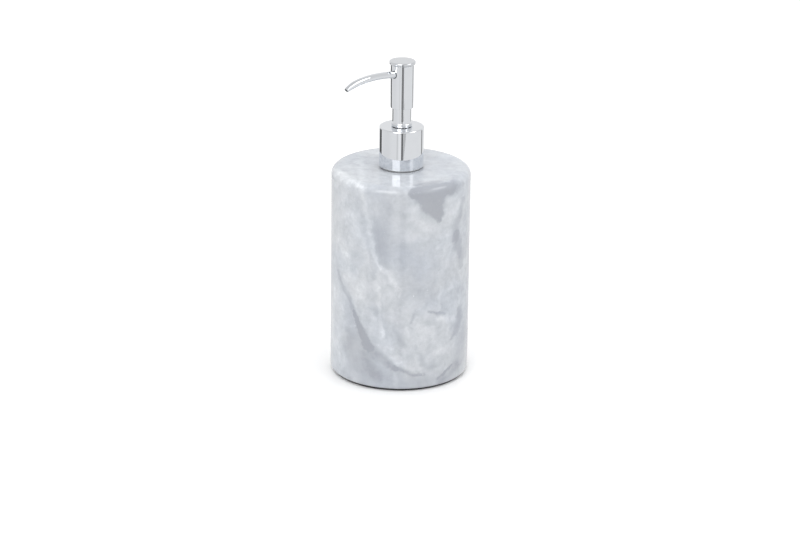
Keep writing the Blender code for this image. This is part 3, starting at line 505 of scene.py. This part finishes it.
def cut(piece, operation, *tools):
    """Joins tools to the piece, or cuts them out of it, and removes them."""
    for tool in tools:
        fresh(piece)
        change = piece.modifiers.new(tool.name, "BOOLEAN")
        change.operation, change.object, change.solver = operation, tool, "EXACT"
        bpy.ops.object.modifier_apply(modifier=change.name)
        bpy.data.objects.remove(tool)
    bpy.ops.object.mode_set(mode="EDIT")
    clean()


def plastic(name, colour, roughness=0.38, haze=0.0):
    """Moulded polypropylene or polyethylene: faint cloudiness in its colour and flow marks."""
    made, shader, place = material(name, roughness)
    cloudy = place.noise(240.0, detail=3.0)
    flow = place.noise(900.0, detail=2.0, roughness=0.6)
    pale = [min(1.0, channel * 1.05) for channel in colour]
    deep = [channel * 0.93 for channel in colour]
    feed(
        shader,
        Base_Color=cloudy.smooth(0.3, 0.7).mix((*deep, 1), (*pale, 1)),
        Roughness=roughness - 0.06 + cloudy * 0.12,
        Normal=bump(flow, 0.015 * MM),
    )
    shader.inputs["Subsurface Weight"].default_value = haze
    shader.inputs["Subsurface Radius"].default_value = (2 * MM, 2 * MM, 2 * MM)
    shader.inputs["Subsurface Scale"].default_value = 1.0
    return made


GROOVE_HEIGHT, GROOVE_DEPTH = 1.8 * MM, 0.45 * MM
THREAD_HEIGHT = 1.1 * MM
THREAD_LEAD_IN = 1.5 * MM

foot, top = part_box("neck_insert")
flange_foot = body_top + FIT_GAP
flange_top = flange_foot + 0.9 * MM
flange_radius = 12.5 * MM
shank_radius = flange_radius - 1.2 * MM
groove_radius = shank_radius - GROOVE_DEPTH
neck_root = 10.75 * MM
neck_bore = 9.3 * MM
thread_start = top.z - THREAD_LEAD_IN - THREAD_TURNS * THREAD_PITCH
outline = [
    (neck_bore, top.z, 0.25 * MM), (neck_root, top.z, 0.25 * MM),
    (neck_root, flange_top, 0.3 * MM), (flange_radius, flange_top, 0.2 * MM),
    (flange_radius, flange_foot, 0.15 * MM), (shank_radius, flange_foot),
]
groove_gap = (flange_foot - foot.z - 2 * GROOVE_HEIGHT) / 3
for groove in (1, 2):
    groove_top = flange_foot - groove * groove_gap - (groove - 1) * GROOVE_HEIGHT
    groove_foot = groove_top - GROOVE_HEIGHT
    outline += [
        (shank_radius, groove_top, 0.1 * MM), (groove_radius, groove_top, 0.1 * MM),
        (groove_radius, groove_foot, 0.1 * MM), (shank_radius, groove_foot, 0.1 * MM),
    ]
outline += [(shank_radius, foot.z, 0.3 * MM), (neck_bore, foot.z, 0.2 * MM)]
neck = turned("threaded_neck", outline, round_steps=3)
cut(neck, "UNION", thread("neck_thread", neck_root, neck_root + THREAD_HEIGHT, thread_start))
done(neck, "bottle", "neck_plastic", plastic("neck_white", (0.80, 0.80, 0.79)), "neck_insert")

# ================================================================ gasket
# A washer punched from pale closed-cell foam. It lies on the neck's mouth and is squeezed by the
# pump's flange, which seals the bottle.
foot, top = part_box("neck_gasket")
gasket_bore, gasket_easing = 7.2 * MM, 0.2 * MM
gasket = turned("foam_gasket", [
    (gasket_bore, top.z, gasket_easing), (top.x, top.z, gasket_easing),
    (top.x, foot.z, gasket_easing), (gasket_bore, foot.z, gasket_easing),
], round_steps=4)
foam, shader, place = material("closed_cell_foam", 0.85)
cells = place.node("TexVoronoi", {}, {"Vector": place, "Scale": 2600.0})
feed(
    shader,
    Base_Color=cells.smooth(0.1, 0.7).mix((0.60, 0.60, 0.59, 1), (0.74, 0.74, 0.73, 1)),
    Normal=bump(cells, 0.05 * MM),
)
done(gasket, "pump", "gasket_foam", foam, "neck_gasket")

# ================================================================ pump cylinder and inlet ball
# One moulding hangs through the neck: the barrel, the cage of the inlet ball under a slotted
# lip, and the socket of the dip tube. An air vent is drilled through its back wall.
LIP_THICKNESS, CYLINDER_FLANGE = 1.1 * MM, 1.4 * MM
SLOT_WIDTH, SLOT_DEPTH = 1.5 * MM, 1.7 * MM
VENT_DROP, VENT_RADIUS, VENT_LENGTH = 6.4 * MM, 0.6 * MM, 3 * MM

foot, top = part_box("pump_cylinder")
ledge = 105.7 * MM
barrel_bore, barrel_radius = 5.7 * MM, 6.7 * MM
ball_foot, ball_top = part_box("inlet_ball")
ball_radius = (ball_top.z - ball_foot.z) / 2
cage_bore, cage_radius = ball_radius + 0.5 * MM, ball_radius + 2.0 * MM
lip_bore = ball_radius - 0.25 * MM
snout_radius, socket_radius, inlet_radius = 3.5 * MM, 2.35 * MM, 1.3 * MM
lip_foot = ledge - LIP_THICKNESS
socket_top = foot.z + 8.8 * MM
seat_foot = socket_top + 1.8 * MM
seat_top = seat_foot + (cage_bore - inlet_radius) * tan(radians(51))
barrel = turned("pump_barrel", [
    (barrel_bore, top.z, 0.2 * MM), (top.x, top.z, 0.25 * MM),
    (top.x, top.z - CYLINDER_FLANGE, 0.25 * MM),
    (barrel_radius, top.z - CYLINDER_FLANGE, 0.4 * MM), (barrel_radius, lip_foot, 0.8 * MM),
    (cage_radius, lip_foot - 5 * MM, 0.8 * MM), (cage_radius, seat_foot, 0.5 * MM),
    (snout_radius, seat_foot - 1.5 * MM, 0.3 * MM), (snout_radius, foot.z, 0.3 * MM),
    (socket_radius, foot.z, 0.2 * MM), (socket_radius, socket_top), (inlet_radius, socket_top),
    (inlet_radius, seat_foot), (cage_bore, seat_top), (cage_bore, lip_foot),
    (lip_bore, lip_foot), (lip_bore, ledge, 0.15 * MM),
    (barrel_bore, ledge, 0.2 * MM),
], sides=96, round_steps=3)


def bar(name, size, centre):
    """A square bar, to cut a slot with."""
    fresh()
    bpy.ops.mesh.primitive_cube_add(size=1.0, location=centre, scale=size)
    bpy.context.object.name = name
    return bpy.context.object


def drill(name, start, along, length, radius, sides=48):
    """A round bar from a point along a direction, to cut a hole with."""
    fresh()
    bpy.ops.mesh.primitive_cylinder_add(
        vertices=sides, radius=radius, depth=length, location=start + along * length / 2,
        rotation=along.to_track_quat("Z", "Y").to_euler(),
    )
    bpy.context.object.name = name
    return bpy.context.object


slot_reach = 2 * (cage_bore + 0.3 * MM)
slot_centre = (0, 0, ledge - LIP_THICKNESS / 2)
vent_start = Vector((0, barrel_bore - 1.0 * MM, top.z - VENT_DROP))
cut(
    barrel, "DIFFERENCE",
    bar("slot_x", (slot_reach, SLOT_WIDTH, SLOT_DEPTH), slot_centre),
    bar("slot_y", (SLOT_WIDTH, slot_reach, SLOT_DEPTH), slot_centre),
    drill("vent", vent_start, Vector((0, 1, 0)), VENT_LENGTH, VENT_RADIUS, sides=24),
)
natural = plastic("natural_polypropylene", (0.83, 0.85, 0.85), roughness=0.30, haze=0.35)
done(barrel, "pump", "pump_plastic", natural, "pump_cylinder")

fresh()
bpy.ops.mesh.primitive_ico_sphere_add(
    subdivisions=5, radius=ball_radius, location=(0, 0, (ball_foot.z + ball_top.z) / 2)
)
ball = bpy.context.object
ball.name = "valve_ball"
steel, shader, place = material("polished_steel", 0.12, metallic=1.0)
lapping = place.noise(3000.0, detail=2.0)
feed(
    shader,
    Base_Color=lapping.mix((0.66, 0.66, 0.68, 1), (0.74, 0.74, 0.76, 1)),
    Roughness=0.08 + lapping * 0.10,
)
done(ball, "ball", "ball_steel", steel, "inlet_ball")

# ================================================================ dip tube
# A length of extruded translucent tube pushed into the socket. Its foot is cut aslant, so that
# it can't seal against the plug.
TUBE_WALL = 0.8 * MM
TUBE_SLANT = radians(40)

foot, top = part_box("dip_tube")
tube_radius = top.x
tube_bore = tube_radius - TUBE_WALL
tube = turned("dip_tube_extrusion", [
    (tube_bore, top.z, 0.1 * MM), (tube_radius, top.z, 0.1 * MM), (tube_radius, foot.z),
    (tube_bore, foot.z),
], sides=64)
bpy.ops.mesh.select_all(action="SELECT")
bpy.ops.mesh.bisect(
    plane_co=(-tube_radius, 0, foot.z), plane_no=(-sin(TUBE_SLANT), 0, cos(TUBE_SLANT)),
    use_fill=True, clear_inner=True,
)
tube_plastic = plastic("extruded_tube", (0.90, 0.91, 0.91), roughness=0.22, haze=0.4)
done(tube, "pump", "tube_plastic", tube_plastic, "dip_tube")

# ================================================================ return spring
# Drawn stainless wire, coiled with one closed turn at each end. It is pressed between the
# ledge in the barrel and the collar of the piston's rod.
WIRE_RADIUS = 0.45 * MM
SPRING_RADIUS = 4.2 * MM
SPRING_TURNS = 7
SPRING_END_PITCH = 1.05 * MM
SPRING_STEPS = 36

foot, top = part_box("return_spring")
coil_foot, coil_top = foot.z + WIRE_RADIUS, top.z - WIRE_RADIUS
active_pitch = (coil_top - coil_foot - 2 * SPRING_END_PITCH) / (SPRING_TURNS - 2)
helix = bpy.data.curves.new("coil_spring", "CURVE")
helix.dimensions, helix.bevel_depth, helix.bevel_resolution = "3D", WIRE_RADIUS, 4
helix.use_fill_caps = True
wire = helix.splines.new("POLY")
wire.points.add(SPRING_TURNS * SPRING_STEPS)
for step, point in enumerate(wire.points):
    turn = step / SPRING_STEPS
    closed = min(turn, 1) + max(turn - SPRING_TURNS + 1, 0)
    height = coil_foot + closed * SPRING_END_PITCH + (turn - closed) * active_pitch
    point.co = (SPRING_RADIUS * cos(tau * turn), SPRING_RADIUS * sin(tau * turn), height, 1)
spring = bpy.data.objects.new("coil_spring", helix)
bpy.context.scene.collection.objects.link(spring)
fresh(spring)
bpy.ops.object.convert(target="MESH")
bpy.ops.object.mode_set(mode="EDIT")
clean()
spring_steel, shader, place = material("drawn_steel", 0.26, metallic=1.0)
die_marks = place.node("Mapping", {}, {"Vector": place, "Scale": (1, 1, 9)}).noise(700.0)
feed(
    shader,
    Base_Color=die_marks.mix((0.48, 0.48, 0.50, 1), (0.66, 0.66, 0.68, 1)),
    Roughness=0.18 + die_marks * 0.18,
)
done(spring, "pump", "spring_steel", spring_steel, "return_spring")
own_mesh(spring)

# ================================================================ piston, rod and stem
# The soft seal wipes the barrel with a thin lip at each end. A solid rod carries the spring and
# plugs into the hollow stem, which lets the soap in through two side ports.
STEM_RADIUS, STEM_BORE = 3.3 * MM, 1.9 * MM
SHOULDER_RADIUS, SHOULDER_HEIGHT = 4.9 * MM, 1.5 * MM
PORT_RADIUS = 0.7 * MM
ROD_COLLAR_HEIGHT = 1.5 * MM
WIPER_LIP_WIDTH, WIPER_LIP_HEIGHT = 0.6 * MM, 1.6 * MM

foot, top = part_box("piston_seal")
seal_bore = STEM_RADIUS + FIT_GAP
waist = top.x - WIPER_LIP_WIDTH
seal = turned("piston_wiper", [
    (seal_bore, top.z, 0.1 * MM), (waist, top.z), (top.x, top.z, 0.1 * MM),
    (top.x, top.z - WIPER_LIP_HEIGHT, 0.3 * MM),
    (waist, top.z - 2 * WIPER_LIP_HEIGHT, 0.6 * MM),
    (top.x, foot.z + WIPER_LIP_HEIGHT, 0.3 * MM), (top.x, foot.z, 0.1 * MM),
    (waist, foot.z, 0.1 * MM), (seal_bore, foot.z + WIPER_LIP_HEIGHT, 0.3 * MM),
], sides=96, round_steps=4)
soft = plastic("soft_polyethylene", (0.88, 0.89, 0.90), roughness=0.42, haze=0.3)
done(seal, "piston", "seal_plastic", soft, "piston_seal")

foot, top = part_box("piston_rod")
rod_collar_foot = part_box("return_spring")[1].z + FIT_GAP
rod_collar_top = rod_collar_foot + ROD_COLLAR_HEIGHT
plug_radius, shaft_radius, point_radius = 1.6 * MM, 2.2 * MM, 1.1 * MM
rod = turned("solid_rod", [
    (0, top.z), (plug_radius, top.z, 0.3 * MM), (plug_radius, rod_collar_top, 0.1 * MM),
    (top.x, rod_collar_top, 0.25 * MM), (top.x, rod_collar_foot, 0.25 * MM),
    (shaft_radius, rod_collar_foot, 0.3 * MM),
    (shaft_radius, foot.z + shaft_radius - point_radius, 0.4 * MM),
    (point_radius, foot.z, 0.3 * MM), (0, foot.z),
], sides=80, round_steps=4)
done(rod, "head", "pump_plastic", plastic("rod_white", (0.84, 0.84, 0.83)), "piston_rod")

foot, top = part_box("stem")
shoulder_top = 142.7 * MM
shoulder_foot = shoulder_top - SHOULDER_HEIGHT
stem = turned("hollow_stem", [
    (STEM_BORE, top.z, 0.2 * MM), (STEM_RADIUS, top.z, 0.3 * MM),
    (STEM_RADIUS, shoulder_top, 0.2 * MM), (SHOULDER_RADIUS, shoulder_top, 0.2 * MM),
    (SHOULDER_RADIUS, shoulder_foot, 0.2 * MM), (STEM_RADIUS, shoulder_foot, 0.2 * MM),
    (STEM_RADIUS, foot.z, 0.2 * MM), (STEM_BORE, foot.z, 0.2 * MM),
], sides=80, round_steps=4)
port_start = Vector((0, -2 * STEM_RADIUS, shoulder_foot - 3 * PORT_RADIUS))
ports = drill("ports", port_start, Vector((0, 1, 0)), 4 * STEM_RADIUS, PORT_RADIUS, sides=24)
cut(stem, "DIFFERENCE", ports)
done(stem, "head", "pump_plastic", plastic("stem_white", (0.87, 0.87, 0.86)), "stem")

# ================================================================ chaplet and guide sleeve
# The chaplet clips into the barrel's top and guides the stem in its tower. A drawn chrome
# sleeve is pressed over the tower, flared out in a cove to a ring that rests on the collar.
foot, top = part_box("chaplet")
flange_foot, flange_top = 152.1 * MM, 153.4 * MM
hub_foot, hub_radius = 150.2 * MM, 8.1 * MM
skirt_radius, tower_radius, guide_radius = 5.4 * MM, 4.95 * MM, 3.6 * MM
chaplet = turned("stem_guide", [
    (guide_radius, top.z, 0.2 * MM), (tower_radius, top.z, 0.3 * MM),
    (tower_radius, flange_top, 0.4 * MM), (top.x, flange_top, 0.25 * MM),
    (top.x, flange_foot, 0.25 * MM), (hub_radius, flange_foot, 0.1 * MM),
    (hub_radius, hub_foot, 0.3 * MM), (skirt_radius, hub_foot, 0.2 * MM),
    (skirt_radius, foot.z, 0.4 * MM), (guide_radius, foot.z, 0.3 * MM),
], sides=96, round_steps=4)
done(chaplet, "pump", "pump_plastic", plastic("guide_white", (0.86, 0.86, 0.85)), "chaplet")


def chrome(name, shine=1.0):
    """Bright chrome plate over polished brass, with faint wipe marks and hairline scratches."""
    made, shader, place = material(name, 0.05, metallic=1.0)
    wiped = place.noise(60.0, detail=4.0, roughness=0.6)
    hairs = place.node("Mapping", {}, {
        "Vector": place, "Rotation": (0.6, 0.3, 0.5), "Scale": (1, 1, 14),
    }).noise(420.0, detail=3.0)
    shade = (*(channel * shine for channel in CHROME_SHADE), 1)
    light = (*(channel * shine for channel in CHROME_LIGHT), 1)
    feed(
        shader,
        Base_Color=wiped.smooth(0.3, 0.7).mix(shade, light),
        Roughness=0.018 + wiped.smooth(0.35, 0.75) * 0.035 + hairs.smooth(0.62, 0.75) * 0.05,
        Normal=bump(hairs, 0.0006 * MM),
    )
    return made


CHROME_SHADE = (0.745, 0.765, 0.795)
CHROME_LIGHT = (0.775, 0.795, 0.823)
SLEEVE_WALL = 0.6 * MM
RING_HEIGHT, COVE_HEIGHT, COVE_STEPS = 1.8 * MM, 2.3 * MM, 6

foot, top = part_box("guide_sleeve")
sleeve_radius, ring_radius = 5.85 * MM, top.x
sleeve_bore, sleeve_mouth = sleeve_radius - SLEEVE_WALL, 3.9 * MM
ring_top = foot.z + RING_HEIGHT
cove = [
    (ring_radius + (sleeve_radius - ring_radius) * sin(pi / 2 * step / COVE_STEPS),
     ring_top + COVE_HEIGHT * (1 - cos(pi / 2 * step / COVE_STEPS)))
    for step in range(COVE_STEPS, 0, -1)
]
sleeve = turned("chrome_sleeve", [
    (sleeve_mouth, top.z, 0.1 * MM), (sleeve_radius, top.z, 0.3 * MM), *cove,
    (ring_radius, ring_top, 0.12 * MM), (ring_radius, foot.z, 0.25 * MM),
    (sleeve_bore, foot.z, 0.08 * MM), (sleeve_bore, top.z - SLEEVE_WALL, 0.1 * MM),
    (sleeve_mouth, top.z - SLEEVE_WALL, 0.1 * MM),
], round_steps=5)
done(sleeve, "pump", "chrome", chrome("sleeve_chrome"), "guide_sleeve")

# ================================================================ closure and collar
# The closure is a threaded white cap whose shelf clips round the pump, so that it turns freely.
# The collar is a deep-drawn chrome cup glued over it, with a hole for the sleeve's tower.
CAP_THREAD_CLEARANCE = 0.35 * MM
COLLAR_WALL, COLLAR_SIDE_WALL = 0.6 * MM, 0.5 * MM

foot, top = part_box("closure")
closure_bore, rim_bore, shelf_hole = 12.15 * MM, 11.8 * MM, 8.4 * MM
shelf_foot, shelf_top = 150.2 * MM, 151.8 * MM
cap = turned("threaded_cap", [
    (rim_bore, top.z, 0.2 * MM), (top.x, top.z, 0.3 * MM), (top.x, foot.z, 0.15 * MM),
    (closure_bore, foot.z, 0.1 * MM), (closure_bore, shelf_foot, 0.2 * MM),
    (shelf_hole, shelf_foot, 0.2 * MM), (shelf_hole, shelf_top, 0.2 * MM),
    (rim_bore, shelf_top, 0.2 * MM),
], round_steps=3)
cap_crest = neck_root + CAP_THREAD_CLEARANCE
cap_thread = thread("cap_thread", closure_bore, cap_crest, thread_start - THREAD_PITCH / 2)
cut(cap, "UNION", cap_thread)
done(cap, "collar", "pump_plastic", plastic("closure_white", (0.85, 0.85, 0.84)), "closure")

foot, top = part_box("collar_shell")
collar_bore, collar_hole = top.x - COLLAR_SIDE_WALL, 5.4 * MM
collar = turned("chrome_collar", [
    (collar_hole, top.z, 0.12 * MM), (top.x, top.z, 0.8 * MM), (top.x, foot.z, 0.2 * MM),
    (collar_bore, foot.z, 0.1 * MM), (collar_bore, top.z - COLLAR_WALL, 0.3 * MM),
    (collar_hole, top.z - COLLAR_WALL, 0.12 * MM),
], sides=192, round_steps=6)
done(collar, "collar", "chrome", chrome("collar_chrome"), "collar_shell")

# ================================================================ head
# The head is a plastic core that grips the stem and turns its channel into the spout, a drawn
# chrome shell pierced for the spout, and a chrome button snapped on top for the thumb.
SPOUT_RISE = radians(10)
STEM_SOCKET_RADIUS, STEM_SOCKET_DEPTH = 3.6 * MM, 3.9 * MM
RISER_RADIUS, PASSAGE_RADIUS = 1.5 * MM, 1.7 * MM
SPOUT_SOCKET_RADIUS, SPOUT_SOCKET_DEPTH = 2.4 * MM, 2.4 * MM
spout_line = Vector((0, -cos(SPOUT_RISE), sin(SPOUT_RISE)))

foot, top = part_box("actuator_core")
spout_origin = Vector((0, 0, foot.z + 5.8 * MM))
core_radius = top.x
stem_stop = foot.z + STEM_SOCKET_DEPTH
core = turned("plastic_core", [
    (0, top.z), (core_radius, top.z, 0.5 * MM), (core_radius, foot.z, 0.5 * MM),
    (STEM_SOCKET_RADIUS, foot.z, 0.15 * MM), (STEM_SOCKET_RADIUS, stem_stop),
    (RISER_RADIUS, stem_stop), (RISER_RADIUS, spout_origin.z), (0, spout_origin.z),
], sides=96, round_steps=3)
socket_start = spout_origin + spout_line * (core_radius - SPOUT_SOCKET_DEPTH)
cut(
    core, "DIFFERENCE",
    drill("passage", spout_origin, spout_line, 2 * core_radius, PASSAGE_RADIUS),
    drill("socket", socket_start, spout_line, core_radius, SPOUT_SOCKET_RADIUS),
)
done(core, "head", "pump_plastic", plastic("core_white", (0.84, 0.84, 0.83)), "actuator_core")

foot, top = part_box("head_shell")
shell_bore, shell_foot_radius = 6.6 * MM, 7.0 * MM
shell = turned("chrome_shell", [
    (shell_bore, top.z, 0.08 * MM), (top.x, top.z, 0.12 * MM),
    (shell_foot_radius, foot.z, 0.14 * MM), (shell_bore, foot.z, 0.1 * MM),
], sides=160, round_steps=4)
hole_start = spout_origin + spout_line * core_radius / 2
hole = drill("spout_hole", hole_start, spout_line, core_radius, SPOUT_SOCKET_RADIUS, sides=64)
cut(shell, "DIFFERENCE", hole)
done(shell, "head", "chrome", chrome("head_chrome"), "head_shell")

CROWN, CROWN_STEPS = 0.25 * MM, 8
RIM_HEIGHT = 2.0 * MM

foot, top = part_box("head_cap")
spigot_radius, rim_foot = 6.3 * MM, top.z - RIM_HEIGHT
crown = [
    (top.x * step / CROWN_STEPS, top.z - CROWN * (step / CROWN_STEPS) ** 2)
    for step in range(CROWN_STEPS)
]
button = turned("thumb_button", [
    *crown, (top.x, top.z - CROWN, 0.6 * MM), (top.x, rim_foot, 0.45 * MM),
    (spigot_radius, rim_foot, 0.1 * MM), (spigot_radius, foot.z, 0.3 * MM), (0, foot.z),
], sides=160, round_steps=6)
done(button, "head", "chrome", chrome("button_chrome", shine=0.9), "head_cap")

# ================================================================ spout
# A thin chrome tube, bent in one curve and drawn down at its open tip, with a plastic liner
# inside that carries the soap from the core to where the tip tapers.
SPOUT_STRAIGHT = 8.0 * MM  # from the pump's axis to where the bend starts
ROOT_PULL, TIP_PULL = 10.5 * MM, 10.0 * MM  # the lengths of the bend's two handles
SPOUT_REACH, TIP_DROP, TIP_RADIUS = 45.3 * MM, 2.5 * MM, 1.5 * MM
SPOUT_FALL = radians(31)
SPOUT_TAPER_FROM, LINER_END = 0.8, 0.73  # how far along the bend


def tube_between(name, points, radii, wall):
    """A hollow tube along a Bezier curve, from (place, handle before, handle after) points."""
    fresh()
    bpy.ops.curve.primitive_bezier_curve_add(location=(0, 0, 0))
    tube = bpy.context.object
    tube.name = name
    curve = tube.data
    curve.materials.append(None)  # a slot for the outside
    curve.materials.append(None)  # and one for the bore
    curve.bevel_depth, curve.bevel_resolution, curve.resolution_u = 1.0 * MM, 10, 24
    spline = curve.splines[0]
    spline.bezier_points.add(len(points) - 2)
    for knot, (place, before, after), radius in zip(spline.bezier_points, points, radii):
        knot.handle_left_type = knot.handle_right_type = "FREE"
        knot.co, knot.handle_left, knot.handle_right = place, before, after
        knot.radius = radius / MM
    bpy.ops.object.convert(target="MESH")
    bpy.ops.object.mode_set(mode="EDIT")
    clean()
    bpy.ops.object.mode_set(mode="OBJECT")
    thick = tube.modifiers.new("wall", "SOLIDIFY")
    thick.thickness, thick.offset, thick.material_offset = wall, -1.0, 1
    bpy.ops.object.modifier_apply(modifier=thick.name)
    rims = tube.modifiers.new("rims", "BEVEL")
    rims.width, rims.segments = 0.1 * MM, 3
    rims.limit_method, rims.angle_limit = "ANGLE", radians(50)
    bpy.ops.object.modifier_apply(modifier=rims.name)
    return tube


def split(start, start_handle, end_handle, end, place):
    """The point and its two handles where a Bezier curve is split, and the new outer handles."""
    first = start.lerp(start_handle, place)
    middle = start_handle.lerp(end_handle, place)
    last = end_handle.lerp(end, place)
    before, after = first.lerp(middle, place), middle.lerp(last, place)
    return first, before, before.lerp(after, place), after, last


# The spout's bore is painted nearly black: painted shade that makes the open tip look dark inside,
# mottled at random
bore, shader, place = material("spout_bore", 0.6, metallic=1.0)
painted_shade_mottle = place.noise(500.0, detail=4.0)
feed(
    shader,
    Base_Color=painted_shade_mottle.mix((0.05, 0.05, 0.05, 1), (0.16, 0.15, 0.14, 1)),
    Roughness=0.5 + painted_shade_mottle * 0.3,
)
root = spout_origin + spout_line * SPOUT_STRAIGHT
tip = Vector((0, -SPOUT_REACH, root.z - TIP_DROP))
tip_fall = Vector((0, -cos(SPOUT_FALL), -sin(SPOUT_FALL)))
root_handle, tip_handle = root + spout_line * ROOT_PULL, tip - tip_fall * TIP_PULL
plating, lining = chrome("spout_chrome"), plastic("liner_white", (0.89, 0.90, 0.90))

# Each tube has its looks, the place on the spout's line where it starts, its radius and wall,
# and how far along the bend it ends
for name, node, slot, look, inner, inset, radius, wall, end_place in (
    ("chrome_spout", "spout_tube", "chrome", plating, bore, 4.2 * MM, 2.1 * MM, 0.4 * MM, 1.0),
    ("spout_lining", "spout_liner", "tube_plastic", lining, lining, 2.0 * MM, 1.4 * MM, 0.45 * MM,
     LINER_END),
):
    start = spout_origin + spout_line * inset
    near = (root - start) / 3
    middle_place = min(SPOUT_TAPER_FROM, end_place)
    first, before, middle, after, last = split(root, root_handle, tip_handle, tip, middle_place)
    points = [
        (start, start - near, start + near), (root, root - near, first), (middle, before, after),
    ]
    radii = [radius, radius, radius]
    if end_place == 1.0:
        points.append((tip, last, tip + tip_fall * MM))
        radii.append(TIP_RADIUS)
    spout = tube_between(name, points, radii, wall)
    done(spout, "head", slot, look, node, inner=inner)

# ================================================================ studio
# The dispenser stands on a plain white table, under a wide overhead light, with a small key
# light at one side. Soft boxes, the dark gaps between them, and grey cards show in the chrome.
CAMERA_HEIGHT = 0.7271
CAMERA_DISTANCE = 1.8176
CAMERA_AIM = 0.0655
CAMERA_LENS = 141.6
CAMERA_ROLL = radians(0.7)
KEY_BEARING, KEY_DISTANCE = radians(75), 1.3
KEY_SIZE, KEY_POWER = 0.5, 2.3

fresh()
bpy.ops.mesh.primitive_circle_add(vertices=64, radius=4.0, fill_type="NGON", location=(0, 0, 0))
table = bpy.context.object
table.name = "table"
bpy.ops.object.mode_set(mode="EDIT")
bpy.ops.mesh.inset(thickness=3.0, depth=0)
bpy.ops.object.mode_set(mode="OBJECT")
table_paint, table_shader, table_place = material("white_table", 0.35)
table_tone = table_place.noise(3.0)
feed(table_shader, Base_Color=table_tone.mix((0.84, 0.84, 0.84, 1), (0.86, 0.86, 0.86, 1)))
table.data.materials.append(table_paint)
table.visible_glossy = False

# Grey cards lie on the table round the dispenser, and only mirrors see them. Their corners are
# (across, toward the camera) from the dispenser, in metres
for card_name, grey, corners in (
    ("collar_card", 0.36, [(0.052, 0.42), (0.06, 0.42), (0.22, 0.48), (0.23, 0.50), (0.061, 0.50)]),
    ("head_card", 0.14, [(-0.05, 0.505), (0.15, 0.505), (0.20, 0.70), (-0.06, 0.70)]),
    ("left_card", 0.05, [(-0.208, -0.359), (-0.352, -0.22), (-0.594, -0.371), (-0.35, -0.606)]),
    ("right_card", 0.20, [(0.359, -0.208), (0.308, -0.278), (0.52, -0.468), (0.606, -0.35)]),
):
    card = drawn(card_name, corners)
    bpy.ops.mesh.select_all(action="SELECT")
    bpy.ops.mesh.edge_face_add()
    fresh(card)
    card.location = (0, 0, MM)
    card.rotation_euler = (radians(90), 0, SPOUT_SIDE)
    card_paint, card_shader, card_place = material(card_name, 0.8)
    mottled = card_place.noise(20.0)
    feed(card_shader, Base_Color=mottled.mix((grey * 0.9,) * 3 + (1,), (grey * 1.1,) * 3 + (1,)))
    card.data.materials.append(card_paint)
    card.visible_camera = card.visible_diffuse = card.visible_shadow = False

# The camera sees a plain white world. Other rays see its lights, placed by bearing from the
# camera and by lift over the table, both in degrees
world = bpy.data.worlds.new("studio")
bpy.context.scene.world = world
world.use_nodes = True
sky = world.node_tree
sky.nodes.clear()
direction = Shade(sky).node("TexCoord", output=0)
facing = direction.node("Mapping", {}, {"Vector": direction, "Rotation": (0, 0, -SPOUT_SIDE)})
right, away, up = (facing.node("SeparateXYZ", {}, {0: facing}, output=index) for index in range(3))
bearing = right.maths("ARCTAN2", 0 - away) * degrees(1)
lift = up.maths("ARCSINE") * degrees(1)


def panel(bearings, lifts, blur=2.0):
    """1 inside a panel of the sky between two bearings from the camera and two lifts, else 0."""
    inside = bearing.smooth(bearings[0] - blur, bearings[0] + blur)
    inside = inside * (1 - bearing.smooth(bearings[1] - blur, bearings[1] + blur))
    inside = inside * lift.smooth(lifts[0] - blur, lifts[0] + blur)
    return inside * (1 - lift.smooth(lifts[1] - blur, lifts[1] + blur))


seen = direction.node("LightPath", output=0)
mirrored = direction.node("LightPath", output=3)
overhead = lift.smooth(30, 70) * (1.45 - mirrored * 1.60)
light = 1.12 - lift.smooth(-3, 3) * 0.12 + overhead
light = light + mirrored * panel((-40, 6), (24, 38)) * 3.0
light = light - mirrored * panel((-115, -60), (-60, 4), blur=14) * 0.06
for bearings, lifts, level in (
    # soft boxes at the left and right of the camera, and faint ones behind the dispenser
    ((-46, -6), (8, 50), 2.4),
    ((45, 64), (8, 50), 1.2),
    ((130, 190), (6, 60), 0.14),
    ((-190, -130), (6, 60), 0.14),
    # below the horizon, where mirrors see past the table: a dark gap, a pale strip, a dark gap
    ((-24, -20), (-60, 4), -0.30),
    ((-14, -1), (-60, 4), 0.10),
    ((-1, 8.5), (-60, 4), -0.95),
):
    light = light + panel(bearings, lifts, blur=1.2) * level
shown = seen + (1 - seen) * light
output = sky.nodes.new("ShaderNodeOutputWorld")
sky.links.new(shown.node("Background", {}, {"Strength": shown}).socket, output.inputs["Surface"])

eye = Vector((sin(SPOUT_SIDE), -cos(SPOUT_SIDE), 0)) * CAMERA_DISTANCE + Vector((0, 0, CAMERA_HEIGHT))
bpy.ops.object.camera_add(location=eye)
camera = bpy.context.object
look = (Vector((0, 0, CAMERA_AIM)) - eye).to_track_quat("-Z", "Y")
camera.rotation_mode = "QUATERNION"
camera.rotation_quaternion = look @ Quaternion((0, 0, 1), CAMERA_ROLL)
camera.data.lens = CAMERA_LENS
camera.data.clip_end = 20
bpy.context.scene.camera = camera

bpy.ops.object.light_add(type="AREA", location=(0, 0, 0))
key = bpy.context.object
key.name = "key_light"
key.data.shape = "DISK"
key.data.size = KEY_SIZE
key.data.energy = KEY_POWER
key_from = Matrix.Rotation(SPOUT_SIDE + KEY_BEARING, 3, "Z") @ Vector((0, -1, 0.9)).normalized()
key.location = key_from * KEY_DISTANCE
key.rotation_mode = "QUATERNION"
key.rotation_quaternion = key_from.to_track_quat("Z", "Y")
bpy.context.scene.view_settings.view_transform = "Standard"
